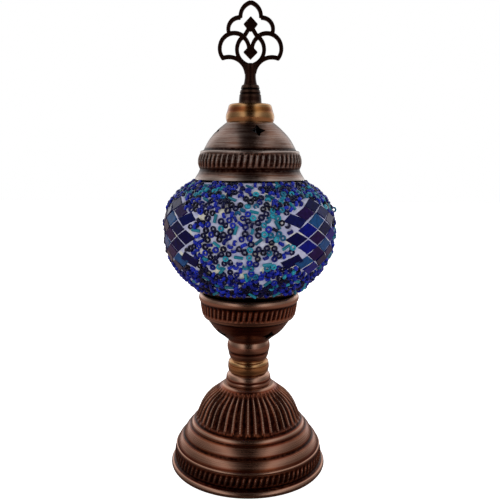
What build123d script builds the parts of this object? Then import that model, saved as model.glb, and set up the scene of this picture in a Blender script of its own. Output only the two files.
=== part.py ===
from build123d import *
import math
import os

# Mosaic glass table lamp: a spun brass base, turned stem rings and a spun cup on one threaded tube, a
# glass globe with a mosaic skin, and a vented cap with a cast openwork finial. Millimetres, +Z up,
# origin at the centre of the bottom face, front towards -Y. Every outline is a list of (radius, height).

# Heights of the faces where the pieces meet
felt_thickness = 1.6
plate_top = 2.6
ballast_top = 10.6
base_top = 65.2
ring_lower_top = 74.6
ring_middle_top = 84.9
ring_upper_top = 99.4
cap_top = 263.2
collar_top = 276.6
cone_top = 290.2

# Base
rim_centre = (57.4, 3.0)
rim_bead_radius = 2.5
plate_radius = 54.85
ballast_radius = 47.0
ballast_hole_radius = 9.0
sheet = 1.0

# Threaded tube, M10, with its nuts and washers
tube_radius = 5.0
tube_bore_radius = 3.6
tube_bottom = 54.0
tube_top = 113.0
tube_hole_radius = 5.1
nut_across_flats = 14.0
nut_height = 4.0
washer_radius = 11.0
washer_thickness = 1.5

# Cable inlet at the back of the base
inlet_height = 10.6
inlet_bore_radius = 2.6
inlet_hole_radius = 3.4
inlet_flange_radius = 4.4
inlet_outer_face = 57.3
inlet_inner_face = 54.85
inlet_flange_thickness = 1.1

# Small-screw lampholder and its bulb
holder_bottom = 105.8
holder_joint = 116.0
holder_top = 150.0
holder_radius = 13.5
screw_shell_radius = 7.6
screw_shell_bore_radius = 6.98
screw_shell_bottom = 129.5
bulb_cap_radius = 6.9
bulb_tip_bottom = 127.4
bulb_cap_bottom = 131.4
bulb_cap_top = 153.0
bulb_top = 204.0
bulb_radius = 22.5
bulb_wall = 0.8

# Globe
globe_bottom = 124.0
globe_neck_radius = 33.2
globe_wall = 2.0
globe_top_neck_radius = 31.5
globe_top = 232.0
mosaic_bottom = 141.4
mosaic_top = 221.6

# Star vents
star_width = 11.4
star_height = 8.8
star_waist = 0.4
cap_star_angle = 13.0
cap_star_height = 256.75
cup_star_angle = 37.0
cup_star_height = 108.2
star_count = 4

# Cap stud, M5, and the finial
stud_radius = 2.45
stud_bore_radius = 2.5
stud_hole_radius = 2.6
stud_bottom = 254.0
stud_top = 295.4
small_nut_across_flats = 8.0
small_nut_height = 4.0
clip_width = 9.0
clip_thickness = 0.8
clip_reach = 28.4
strand = 2.5
finial_thickness = 3.0


def run(points):
    """One stretch of an outline: a line, a three-point arc or a spline, by its number of points."""
    places = [(radius, 0, height) for radius, height in points]
    if len(places) == 2:
        return Line(*places)
    if len(places) == 3:
        return ThreePointArc(*places)
    return Spline(*places)


def turned(*runs):
    """Turn a closed outline about Z. Each stretch starts where the last one ends."""
    edges = [run(points) for points in runs]
    if math.dist(runs[-1][-1], runs[0][0]) > 1e-6:
        edges.append(run([runs[-1][-1], runs[0][0]]))
    return revolve(make_face(edges), Axis.Z)


def chain(*points):
    """Straight stretches through the points, for turned()."""
    return [[start, end] for start, end in zip(points, points[1:])]


def tube(outer, inner, bottom, top):
    """A plain ring or washer."""
    return turned(*chain((inner, bottom), (outer, bottom), (outer, top), (inner, top)))


def disc(radius, bottom, top):
    """A plain solid disc."""
    return Pos(0, 0, bottom) * Cylinder(radius, top - bottom, align=(Align.CENTER, Align.CENTER, Align.MIN))


def hex_nut(across_flats, bore, bottom, height):
    """A hexagon nut on the Z axis."""
    face = RegularPolygon(across_flats / 2, 6, major_radius=False) - Circle(bore)
    return Pos(0, 0, bottom) * extrude(face, height)


def star_cutters(height, first_angle):
    """Four-pointed stars with notched sides, as prisms that point outwards from the Z axis."""
    waist = star_waist * star_height / 2
    tips = [(star_width / 2, 0), (0, star_height / 2), (-star_width / 2, 0), (0, -star_height / 2)]
    waists = [(waist, waist), (-waist, waist), (-waist, -waist), (waist, -waist)]
    corners = [corner for pair in zip(tips, waists) for corner in pair]
    star = extrude(Plane.XZ * make_face(Polyline(*corners, close=True)), 45)
    step = 360 / star_count
    return [Pos(0, 0, height) * Rot(0, 0, first_angle + i * step) * star for i in range(star_count)]


def base_shell():
    """Spun base: rolled rim, upright band, three stepped ridges and a dome with a flat top."""
    centre, height = rim_centre
    outer_end = (centre + rim_bead_radius * math.cos(math.radians(78)),
                 height + rim_bead_radius * math.sin(math.radians(78)))
    inner_start = (centre + rim_bead_radius * math.cos(math.radians(150)),
                   height + rim_bead_radius * math.sin(math.radians(150)))
    inner_middle = (inner_start[0], 2 * height - inner_start[1])
    bottom = (centre, height - rim_bead_radius)
    inner_top = base_top - sheet
    shell = turned(
        [bottom, (centre + rim_bead_radius, height), outer_end],
        [outer_end, (56.8, 6.4)],
        [(56.8, 6.4), (57.2, 8.6), (57.1, 12.6), (55.9, 16.4)],
        [(55.9, 16.4), (56.2, 17.4), (55.3, 18.2)],
        [(55.3, 18.2), (53.3, 22.3), (50.0, 25.4)],
        [(50.0, 25.4), (48.0, 29.8), (44.6, 33.2)],
        [(44.6, 33.2), (43.5, 35.3), (41.4, 36.8)],
        [(41.4, 36.8), (38.6, 43.5), (36.0, 49.5), (31.4, 55.5), (25.4, 60.2), (19.0, base_top)],
        [(19.0, base_top), (tube_hole_radius, base_top)],
        [(tube_hole_radius, base_top), (tube_hole_radius, inner_top)],
        [(tube_hole_radius, inner_top), (18.2, inner_top)],
        [(18.2, inner_top), (24.6, 59.2), (30.4, 54.6), (34.9, 48.9), (37.4, 43.0), (39.8, 36.2)],
        *chain((39.8, 36.2), (43.2, 32.4), (48.6, 24.6), (54.0, 17.6), (55.8, 12.6), (55.6, 7.0)),
        [(55.6, 7.0), inner_start],
        [inner_start, inner_middle, bottom],
    )
    hole = Pos(0, 50, inlet_height) * Rot(-90, 0, 0) * Cylinder(
        inlet_hole_radius, 12, align=(Align.CENTER, Align.CENTER, Align.MIN))
    return shell - hole


def cable_grommet():
    """Bushing for the cord in the back of the base: a neck between two flanges."""
    rear = inlet_outer_face + inlet_flange_thickness
    front = inlet_inner_face - inlet_flange_thickness
    outline = Polyline(
        (inlet_bore_radius, front), (inlet_flange_radius, front), (inlet_flange_radius, inlet_inner_face),
        (inlet_hole_radius, inlet_inner_face), (inlet_hole_radius, inlet_outer_face),
        (inlet_flange_radius, inlet_outer_face), (inlet_flange_radius, rear - 0.5),
        (inlet_flange_radius - 0.5, rear), (inlet_bore_radius, rear), close=True)
    return Pos(0, 0, inlet_height) * revolve(make_face(outline), Axis.Y)


def stem_ring_lower():
    """Flared ring that stands on the base."""
    return turned(
        [(tube_radius, base_top), (16.6, base_top)],
        [(16.6, base_top), (17.6, 66.6), (17.1, 68.6)],
        [(17.1, 68.6), (16.9, 71.2), (15.3, 73.4)],
        *chain((15.3, 73.4), (13.6, ring_lower_top), (tube_radius, ring_lower_top)))


def stem_ring_middle():
    """Ring with a broad band below and a rounded shoulder above."""
    return turned(
        *chain((tube_radius, ring_lower_top), (14.6, ring_lower_top), (15.5, 76.2), (15.8, 80.6)),
        [(15.8, 80.6), (15.3, 82.8), (13.5, 83.9)],
        *chain((13.5, 83.9), (13.5, ring_middle_top), (tube_radius, ring_middle_top)))


def stem_ring_upper():
    """Tapered ring with a groove round its middle, under the cup."""
    return turned(
        *chain((tube_radius, ring_middle_top), (13.7, ring_middle_top)),
        [(13.7, ring_middle_top), (15.1, 87.9), (15.6, 90.6)],
        [(15.6, 90.6), (15.3, 91.0), (15.8, 91.4)],
        [(15.8, 91.4), (16.4, 94.8), (15.2, ring_upper_top)],
        [(15.2, ring_upper_top), (tube_radius, ring_upper_top)])


def lower_cup():
    """Spun cup that carries the globe: bowl, step, upright band and rolled rim, with star vents."""
    floor = ring_upper_top + sheet
    shell = turned(
        [(tube_hole_radius, ring_upper_top), (15.2, ring_upper_top)],
        [(15.2, ring_upper_top), (18.6, 102.6), (25.2, 107.9), (30.0, 114.1), (32.6, 118.0)],
        [(32.6, 118.0), (34.5, 119.1), (35.4, 120.4)],
        [(35.4, 120.4), (36.5, 125.6), (37.0, 130.6)],
        [(37.0, 130.6), (38.1, 133.6), (36.4, 136.8)],
        *chain((36.4, 136.8), (35.4, 136.8), (36.1, 133.6), (35.5, 126.0), (34.6, 121.4)),
        [(34.6, 121.4), (32.0, 119.0)],
        [(32.0, 119.0), (29.2, 114.6), (24.5, 108.6), (18.0, 103.5), (14.6, floor)],
        [(14.6, floor), (tube_hole_radius, floor)])
    for cutter in star_cutters(cup_star_height, cup_star_angle):
        shell -= cutter
    return shell


def globe_outer():
    """Outer face of the glass, from its lower neck to its upper neck."""
    return [
        [(globe_neck_radius, globe_bottom), (globe_neck_radius, 134.8)],
        [(globe_neck_radius, 134.8), (35.3, 137.4), (40.8, mosaic_bottom), (47.0, 149.2), (55.0, 159.4),
         (60.0, 170.4), (61.7, 183.5), (60.4, 197.0), (56.0, 206.8), (50.0, 213.5), (43.0, 218.6),
         (36.5, 222.6), (32.3, 226.0), (globe_top_neck_radius, 229.0)],
        [(globe_top_neck_radius, 229.0), (globe_top_neck_radius, globe_top)],
    ]


def globe_glass():
    """Blown globe, open at both necks."""
    inner_low = globe_neck_radius - globe_wall
    inner_high = globe_top_neck_radius - globe_wall
    inner = [
        [(inner_high, globe_top), (inner_high, 228.6)],
        [(inner_high, 228.6), (30.8, 224.6), (41.8, 217.0), (54.2, 205.8), (58.4, 196.5), (59.7, 183.5),
         (58.1, 171.0), (53.3, 160.4), (45.5, 150.6), (39.2, 143.2), (33.6, 139.2), (inner_low, 135.8)],
        [(inner_low, 135.8), (inner_low, globe_bottom)],
    ]
    rim = [[(globe_top_neck_radius, globe_top), (inner_high, globe_top)]]
    return turned(*globe_outer(), *rim, *inner)


def mosaic_layer():
    """Skin of beads, tiles and plaster that follows the glass between the cup and the cap."""
    skin = turned(
        [(30.0, mosaic_bottom), (42.4, mosaic_bottom)],
        [(42.4, mosaic_bottom), (45.0, 144.9), (50.3, 150.0), (57.3, 159.4), (62.3, 170.4), (63.9, 183.5), (62.6, 197.0),
         (58.4, 206.8), (51.8, 213.9), (45.4, 218.5), (40.2, mosaic_top)],
        [(40.2, mosaic_top), (30.0, mosaic_top)])
    solid_globe = turned(*globe_outer(), *chain((globe_top_neck_radius, globe_top), (0, globe_top),
                                                 (0, globe_bottom)))
    return skin - solid_globe


def cap_shell():
    """Spun cap: flared rim, bulged band, thin step and a dome with star vents."""
    inner_top = cap_top - sheet
    shell = turned(
        [(39.9, 222.1), (40.8, 222.1)],
        [(40.8, 222.1), (39.8, 224.0), (37.9, 227.0), (36.9, 229.6)],
        [(36.9, 229.6), (38.4, 235.2), (36.6, 241.0)],
        [(36.6, 241.0), (36.5, 242.2), (35.2, 242.9)],
        [(35.2, 242.9), (34.0, 243.4)],
        [(34.0, 243.4), (31.9, 247.7), (28.8, 252.5), (24.5, 257.2), (17.6, cap_top)],
        *chain((17.6, cap_top), (stud_hole_radius, cap_top), (stud_hole_radius, inner_top),
               (16.9, inner_top)),
        [(16.9, inner_top), (23.8, 256.4), (28.0, 251.8), (30.9, 247.2), (33.1, 242.4)],
        *chain((33.1, 242.4), (35.6, 240.4)),
        [(35.6, 240.4), (37.3, 235.2), (35.8, 229.6)],
        [(35.8, 229.6), (36.9, 226.6), (38.8, 223.7), (39.9, 222.1)])
    for cutter in star_cutters(cap_star_height, cap_star_angle):
        shell -= cutter
    return shell


def cap_collar():
    """Hollow turned collar on top of the cap."""
    return turned(
        [(15.4, cap_top), (16.8, cap_top)],
        [(16.8, cap_top), (17.8, 266.8), (16.9, 271.0)],
        [(16.9, 271.0), (15.9, 274.6)],
        [(15.9, 274.6), (15.2, 276.0), (13.7, collar_top)],
        *chain((13.7, collar_top), (stud_hole_radius, collar_top), (stud_hole_radius, collar_top - 1.5),
               (13.4, collar_top - 1.5), (15.4, 270.6), (15.4, cap_top)))


def spring_clip():
    """Flat spring strip under the cap: a bridge round the stud and two legs inside the globe's neck."""
    leg_bottom, leg_top, bridge, half = 216.0, 234.0, cap_top - sheet - washer_thickness - 0.4, 14.0
    corners = [(-clip_reach, leg_bottom), (-clip_reach, leg_top), (-half, bridge), (half, bridge),
               (clip_reach, leg_top), (clip_reach, leg_bottom)]
    path = FilletPolyline(*corners, radius=4)
    strip = extrude(Plane.XZ * trace(path, clip_thickness), clip_width / 2, both=True)
    return strip - Pos(0, 0, bridge) * Cylinder(stud_hole_radius, 6)


def finial_cone():
    """Turned cone with two grooves, between collar and finial."""
    return turned(*chain(
        (stud_bore_radius, collar_top), (8.4, collar_top), (7.9, 283.4), (7.2, 284.0), (7.6, 284.7),
        (7.1, 286.6), (6.4, 287.2), (6.9, 287.8), (6.3, 289.6), (5.2, cone_top),
        (stud_bore_radius, cone_top)))


def finial():
    """Cast openwork palmette in the XZ plane on a waisted stem, with a threaded hole below."""
    lobe_side = [
        ThreePointArc((0, 347.75), (-5.0, 344.6), (-7.3, 337.3)),
        ThreePointArc((-7.3, 337.3), (-14.0, 334.7), (-15.7, 326.9)),
        ThreePointArc((-5.3, 324.4), (-12.2, 326.6), (-21.8, 318.8)),
        ThreePointArc((-21.8, 318.8), (-22.1, 314.0), (-19.8, 308.9)),
        ThreePointArc((-19.8, 309.2), (-10.8, 309.0), (-2.9, 298.6)),
        ThreePointArc((-5.5, 324.1), (-9.8, 315.3), (-2.5, 304.6)),
        ThreePointArc((-5.3, 324.1), (-2.4, 320.6), (-1.1, 315.6)),
        Line((-4.9, 323.9), (-0.9, 330.4)),
    ]
    half = Sketch()
    for line in lobe_side:
        half += trace(line, strand)
    half += Pos(-5.3, 324.1) * Circle(strand * 0.72)
    half += Pos(-20.0, 309.1) * Circle(strand * 0.5)
    upper = [(0, 338.0), (-4.9, 332.8), (-2.6, 329.8), (0, 327.8)]
    lower = [(0, 317.9), (-2.2, 316.2), (-5.0, 313.3), (0, 308.4)]
    for spade in (upper, lower):
        half += make_face(Polyline(*spade, close=True))
    openwork = half + mirror(half, Plane.YZ)
    casting = extrude(Plane.XZ * openwork, finial_thickness / 2, both=True)
    stem = turned(
        [(0, cone_top), (4.9, cone_top)],
        [(4.9, cone_top), (3.9, 294.8), (4.2, 300.8)],
        *chain((4.2, 300.8), (3.8, 303.8), (2.6, 305.4), (0, 305.4)))
    hole = disc(stud_bore_radius, cone_top - 1, stud_top + 0.6)
    return casting + stem - hole


def holder_body():
    """Moulded upper half of the lampholder, a tube round the screw shell."""
    return turned(*chain(
        (screw_shell_radius, holder_joint), (holder_radius, holder_joint), (holder_radius, 140.0),
        (12.4, 141.0), (12.4, holder_top - 1), (11.4, holder_top), (screw_shell_radius, holder_top)))


def holder_cap():
    """Moulded lower half of the lampholder, screwed on the threaded tube."""
    return turned(*chain(
        (tube_radius, holder_bottom), (8.6, holder_bottom), (holder_radius, 109.0),
        (holder_radius, holder_joint), (11.0, holder_joint), (11.0, 112.0), (tube_radius, 111.0)))


def terminal_screws():
    """Two cheese-head terminal screws in the insulator's underside."""
    screws = []
    for side in (-1, 1):
        screws.append(Pos(side * 4.4, 0, 0) * (disc(1.6, 116.0, 118.0) + disc(0.9, 118.0, 124.0)))
    return Compound(screws)


def holder_insulator():
    """Porcelain disc that carries the contacts, bored for the terminal screws."""
    block = disc(screw_shell_radius, 118.0, 126.0)
    for side in (-1, 1):
        block -= Pos(side * 4.4, 0, 0) * disc(0.9, 117.0, 124.0)
    return block


def bulb_cap():
    """Screw cap of the bulb, a thin tube with a rolled lower edge."""
    return turned(*chain(
        (4.6, bulb_cap_bottom), (5.6, bulb_cap_bottom), (bulb_cap_radius, bulb_cap_bottom + 1.6),
        (bulb_cap_radius, bulb_cap_top), (bulb_cap_radius - 0.4, bulb_cap_top),
        (bulb_cap_radius - 0.4, bulb_cap_bottom + 2.0), (4.6, bulb_cap_bottom + 0.5)))


def bulb_glass():
    """Golf-ball bulb: a neck held in the screw cap and a round envelope."""
    neck = bulb_cap_radius - 0.4
    middle = bulb_top - bulb_radius
    swell = bulb_radius * math.sin(math.radians(48))
    drop = bulb_radius * math.cos(math.radians(48))
    inner = bulb_radius - bulb_wall
    inner_swell = inner * math.sin(math.radians(48))
    inner_drop = inner * math.cos(math.radians(48))
    return turned(
        [(neck, 146.0), (neck, bulb_cap_top)],
        [(neck, bulb_cap_top), (9.4, 157.5), (swell, middle - drop)],
        [(swell, middle - drop), (bulb_radius, middle), (0, bulb_top)],
        [(0, bulb_top), (0, bulb_top - bulb_wall)],
        [(0, bulb_top - bulb_wall), (inner, middle), (inner_swell, middle - inner_drop)],
        [(inner_swell, middle - inner_drop), (8.6, 158.0), (neck - bulb_wall, bulb_cap_top)],
        [(neck - bulb_wall, bulb_cap_top), (neck - bulb_wall, 146.0)])


def bulb_stem():
    """Glass stem inside the bulb, flared where it meets the neck."""
    return turned(*chain((0, 146.0), (5.6, 146.0), (3.4, 150.0), (2.4, 162.0), (2.4, 170.0), (0, 172.0)))


def filament():
    """Two lead wires and the filament bar between them."""
    leads = [Pos(side * 5.0, 0, 0) * disc(0.4, 168.0, 184.0) for side in (-1, 1)]
    feet = [Pos(side * 3.9, 0, 168.4) * Box(3.0, 0.8, 0.8) for side in (-1, 1)]
    bar = Pos(0, 0, 183.6) * Rot(0, 90, 0) * Cylinder(0.6, 10.8)
    solid = bar
    for piece in leads + feet:
        solid += piece
    return solid


clip_bridge = cap_top - sheet - washer_thickness
nodes = {
    "felt_pad": disc(plate_radius - 0.3, 0, felt_thickness),
    "base_plate": disc(plate_radius, felt_thickness, plate_top),
    "ballast_ring": turned(*chain(
        (ballast_hole_radius, plate_top), (ballast_radius, plate_top), (ballast_radius, ballast_top - 3),
        (ballast_radius - 3, ballast_top), (ballast_hole_radius, ballast_top))),
    "base_shell": base_shell(),
    "cable_grommet": cable_grommet(),
    "threaded_tube": tube(tube_radius, tube_bore_radius, tube_bottom, tube_top),
    "neck_washer": tube(washer_radius, tube_radius, base_top - sheet - washer_thickness, base_top - sheet),
    "neck_nut": hex_nut(nut_across_flats, tube_radius,
                        base_top - sheet - washer_thickness - nut_height, nut_height),
    "stem_ring_lower": stem_ring_lower(),
    "stem_ring_middle": stem_ring_middle(),
    "stem_ring_upper": stem_ring_upper(),
    "lower_cup": lower_cup(),
    "cup_washer": tube(washer_radius, tube_radius, ring_upper_top + sheet,
                       ring_upper_top + sheet + 0.9),
    "cup_nut": hex_nut(nut_across_flats, tube_radius, ring_upper_top + sheet + 0.9, nut_height),
    "globe_gasket": tube(34.0, 29.6, 121.4, globe_bottom - 0.3),
    "holder_cap": holder_cap(),
    "holder_body": holder_body(),
    "holder_insulator": holder_insulator(),
    "terminal_screws": terminal_screws(),
    "centre_contact": disc(2.4, 126.0, 127.2),
    "screw_shell": tube(screw_shell_radius, screw_shell_bore_radius, screw_shell_bottom, holder_top - 1),
    "bulb_contact": turned([(0, bulb_tip_bottom), (2.2, 128.0), (3.0, 129.4)],
                           [(3.0, 129.4), (0, 129.4)]),
    "bulb_insulator": turned(*chain((0, 129.4), (3.6, 129.4), (5.6, bulb_cap_bottom),
                                    (0, bulb_cap_bottom))),
    "bulb_cap": bulb_cap(),
    "bulb_glass": bulb_glass(),
    "bulb_stem": bulb_stem(),
    "filament": filament(),
    "globe_glass": globe_glass(),
    "mosaic_layer": mosaic_layer(),
    "cap_shell": cap_shell(),
    "cap_collar": cap_collar(),
    "cap_stud": disc(stud_radius, stud_bottom, stud_top),
    "cap_washer": tube(7.0, stud_hole_radius, clip_bridge, cap_top - sheet),
    "spring_clip": spring_clip(),
    "cap_nut": hex_nut(small_nut_across_flats, stud_radius,
                       clip_bridge - clip_thickness - small_nut_height, small_nut_height),
    "finial_cone": finial_cone(),
    "finial": finial(),
}

os.makedirs("parts", exist_ok=True)
for name, shape in nodes.items():
    export_step(shape, f"parts/{name}.step")
print(len(nodes), "nodes written")
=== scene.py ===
import math
import bpy
import bmesh
import numpy as np
from mathutils import Matrix, Vector


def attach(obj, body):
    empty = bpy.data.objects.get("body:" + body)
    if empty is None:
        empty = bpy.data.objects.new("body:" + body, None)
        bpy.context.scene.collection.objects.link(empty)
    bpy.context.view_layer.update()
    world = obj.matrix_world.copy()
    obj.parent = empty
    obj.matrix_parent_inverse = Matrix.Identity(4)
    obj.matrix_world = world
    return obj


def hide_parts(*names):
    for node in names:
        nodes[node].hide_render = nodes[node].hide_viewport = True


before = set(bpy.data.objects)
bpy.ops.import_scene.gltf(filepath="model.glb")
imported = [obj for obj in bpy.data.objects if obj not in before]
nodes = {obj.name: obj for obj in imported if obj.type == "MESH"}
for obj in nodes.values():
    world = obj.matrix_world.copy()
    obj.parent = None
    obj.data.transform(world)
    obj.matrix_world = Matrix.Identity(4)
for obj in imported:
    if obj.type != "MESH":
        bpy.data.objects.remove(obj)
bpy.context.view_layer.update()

mm = 0.001
scene = bpy.context.scene
scene.view_settings.view_transform = "Standard"


def hexColour(code):
    # sRGB hex to the linear values that shaders use
    channels = [int(code[k:k + 2], 16) / 255 for k in (0, 2, 4)]
    linear = [c / 12.92 if c <= 0.04045 else ((c + 0.055) / 1.055) ** 2.4 for c in channels]
    return (*linear, 1.0)


def addNode(tree, kind, inputs=None, **settings):
    # one node with its settings; inputs are numbers to set or sockets to link from
    made = tree.nodes.new(kind)
    for setting, value in settings.items():
        setattr(made, setting, value)
    pairs = inputs.items() if isinstance(inputs, dict) else enumerate(inputs or [])
    for key, value in pairs:
        if isinstance(value, bpy.types.NodeSocket):
            tree.links.new(value, made.inputs[key])
        elif value is not None:
            made.inputs[key].default_value = value
    return made


def newTree(name, inputs):
    # a Geometry Nodes tree with named inputs: (name, socket type, starting value)
    tree = bpy.data.node_groups.new(name, "GeometryNodeTree")
    tree.interface.new_socket("Geometry", in_out="INPUT", socket_type="NodeSocketGeometry")
    tree.interface.new_socket("Geometry", in_out="OUTPUT", socket_type="NodeSocketGeometry")
    for label, kind, value in inputs:
        socket = tree.interface.new_socket(label, in_out="INPUT", socket_type="NodeSocket" + kind)
        if value is not None:
            socket.default_value = value
    return tree, tree.nodes.new("NodeGroupInput").outputs, tree.nodes.new("NodeGroupOutput").inputs


def keepResult(obj):
    # the evaluated shape becomes the object's own plain mesh
    graph = bpy.context.evaluated_depsgraph_get()
    made = bpy.data.meshes.new_from_object(obj.evaluated_get(graph), preserve_all_data_layers=True,
                                           depsgraph=graph)
    obj.modifiers.clear()
    obj.data = made
    return obj


def runTree(obj, tree, values):
    # inputs are set by identifier before the object is first evaluated
    modifier = obj.modifiers.new(tree.name, "NODES")
    modifier.node_group = tree
    for item in tree.interface.items_tree:
        if item.in_out == "INPUT" and item.name in values:
            modifier[item.identifier] = values[item.name]
    return keepResult(obj)


def newObject(name, verts, faces, material=None, smooth=True):
    mesh = bpy.data.meshes.new(name)
    mesh.from_pydata([tuple(v) for v in verts], [], [tuple(f) for f in faces])
    mesh.update()
    mesh.polygons.foreach_set("use_smooth", [smooth] * len(mesh.polygons))
    obj = bpy.data.objects.new(name, mesh)
    scene.collection.objects.link(obj)
    if material:
        mesh.materials.append(material)
    return obj


def sharpen(obj, degrees=50):
    obj.data.set_sharp_from_angle(angle=math.radians(degrees))
    return obj


def settle(obj, body, slot, *stoodFor):
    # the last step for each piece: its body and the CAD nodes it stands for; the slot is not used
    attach(obj, body)
    if stoodFor:
        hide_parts(*stoodFor)
    print("piece", obj.name, len(obj.data.polygons), "faces")
    return obj


# camera: level with the middle of the lamp, looking slightly down

view = {"height": 0.2364, "distance": 0.46275, "aside": 0.0006, "down": 8.3, "lean": 0.39, "lens": 44.496}
camera = bpy.data.objects.new("camera", bpy.data.cameras.new("camera"))
camera.data.lens = view["lens"]
camera.data.sensor_width = 36
camera.data.clip_start = 0.01
stand = Matrix.Translation((view["aside"], -view["distance"], view["height"]))
nod = Matrix.Rotation(math.radians(90 - view["down"]), 4, "X")
roll = Matrix.Rotation(math.radians(view["lean"]), 4, "Z")
camera.matrix_world = stand @ nod @ roll
scene.collection.objects.link(camera)
scene.camera = camera
print("camera ready")


# studio: pale floor, white surround, and for reflections a room that is warm and dark straight ahead and
# overhead, bright to both sides and white behind the lamp

studio = {
    # the floor's reflected colour is a painted reflection: a warm glow that metal mirrors, with a painted
    # shadow near the lamp
    "floorSize": 6.0, "floorShade": "F4F4F4", "floorGlow": 1.0, "floorPaintedReflection": (0.20, 0.135, 0.115),
    "boxPower": 2.0, "boxAngle": 42.0, "boxDistance": 1.0, "boxWidth": 0.4, "boxHeight": 0.7,
    "across": [(0.0, 0.012), (0.24, 0.018), (0.36, 0.36), (0.47, 1.1), (0.6, 1.0), (0.8, 0.4),
               (1.0, 0.22)],
    "darkTint": (1.0, 0.42, 0.3), "behind": 0.42,
}

world = bpy.data.worlds.new("studio")
scene.world = world
world.use_nodes = True
tree = world.node_tree
tree.nodes.clear()
direction = addNode(tree, "ShaderNodeSeparateXYZ",
                    [addNode(tree, "ShaderNodeTexCoord").outputs["Generated"]])
sideways = addNode(tree, "ShaderNodeMath", [direction.outputs[0]], operation="ABSOLUTE")
ramp = addNode(tree, "ShaderNodeValToRGB", [sideways.outputs[0]])
stops = ramp.color_ramp.elements
for k, (place, level) in enumerate(studio["across"]):
    stop = stops[0] if k == 0 else stops[-1] if k == len(studio["across"]) - 1 else stops.new(place)
    tint = studio["darkTint"] if level < 0.1 else (1, 1, 1)
    stop.position = place
    stop.color = (*(level * share for share in tint), 1)
backward = addNode(tree, "ShaderNodeMapRange", {0: direction.outputs[1], 1: 0.15, 2: 0.85, 3: 0.0,
                                                4: studio["behind"]})
room = addNode(tree, "ShaderNodeVectorMath", [ramp.outputs[0], backward.outputs[0]], operation="ADD")
room = addNode(tree, "ShaderNodeBackground", [room.outputs[0], 1.0])
white = addNode(tree, "ShaderNodeBackground", [(1, 1, 1, 1), 1.0])
direct = addNode(tree, "ShaderNodeLightPath").outputs["Is Camera Ray"]
seen = addNode(tree, "ShaderNodeMixShader", [direct, room.outputs[0], white.outputs[0]])
addNode(tree, "ShaderNodeOutputWorld", [seen.outputs[0]])


def softBox(name, place, aim, width, height, power):
    lamp = bpy.data.objects.new(name, bpy.data.lights.new(name, "AREA"))
    lamp.data.shape = "RECTANGLE"
    lamp.data.size = width
    lamp.data.size_y = height
    lamp.data.energy = power
    lamp.location = place
    lamp.visible_glossy = False  # metal mirrors the room, not the box
    lamp.rotation_mode = "QUATERNION"
    lamp.rotation_quaternion = (Vector(aim) - Vector(place)).to_track_quat("-Z", "Y")
    scene.collection.objects.link(lamp)


for side in (-1, 1):
    swing = math.radians(studio["boxAngle"]) * side
    spot = (studio["boxDistance"] * math.sin(swing), -studio["boxDistance"] * math.cos(swing), 0.42)
    softBox("soft_box", spot, (0, 0, 0.3), studio["boxWidth"], studio["boxHeight"], studio["boxPower"])

floorPaint = bpy.data.materials.new("matt_white_paper")  # even, pale, no gloss
floorPaint.use_nodes = True
tree = floorPaint.node_tree
tree.nodes.clear()
paper = addNode(tree, "ShaderNodeBsdfDiffuse", {"Color": hexColour(studio["floorShade"])})
direct = addNode(tree, "ShaderNodeLightPath").outputs["Is Camera Ray"]
toCamera = addNode(tree, "ShaderNodeMath", [direct, studio["floorGlow"]], operation="MULTIPLY")
glow = addNode(tree, "ShaderNodeEmission", [(1, 1, 1, 1), toCamera.outputs[0]])
lit = addNode(tree, "ShaderNodeAddShader", [paper.outputs[0], glow.outputs[0]])
glossy = addNode(tree, "ShaderNodeLightPath").outputs["Is Glossy Ray"]
# what metal mirrors of the floor is a painted reflection, a glow with a painted shadow: dark close to the
# lamp and bright to its sides
floorXyz = addNode(tree, "ShaderNodeSeparateXYZ", [addNode(tree, "ShaderNodeTexCoord").outputs["Object"]])
aside = addNode(tree, "ShaderNodeMath", [floorXyz.outputs[0]], operation="ABSOLUTE")
shadowNearLamp = addNode(tree, "ShaderNodeMapRange", {0: aside.outputs[0], 1: 0.04, 2: 0.22, 3: 0.35, 4: 1.9})
paintedFloorReflection = addNode(tree, "ShaderNodeEmission", [(*studio["floorPaintedReflection"], 1), shadowNearLamp.outputs[0]])
shown = addNode(tree, "ShaderNodeMixShader", [glossy, lit.outputs[0], paintedFloorReflection.outputs[0]])
addNode(tree, "ShaderNodeOutputMaterial", [shown.outputs[0]])
half = studio["floorSize"] / 2
floor = newObject("floor", [(-half, -half, 0), (half, -half, 0), (half, half, 0), (-half, half, 0)],
                  [(0, 1, 2, 3)], floorPaint, smooth=False)
floor.location.z = -0.0002
print("studio ready")


# materials

def newMaterial(name, **sockets):
    # a Principled material with fixed socket values; an underscore stands for a space in a socket's name
    material = bpy.data.materials.new(name)
    material.use_nodes = True
    tree = material.node_tree
    tree.nodes.clear()
    values = {label.replace("_", " "): value for label, value in sockets.items()}
    shader = addNode(tree, "ShaderNodeBsdfPrincipled", values)
    addNode(tree, "ShaderNodeOutputMaterial", [shader.outputs[0]])
    return material, tree, shader.inputs


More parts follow.
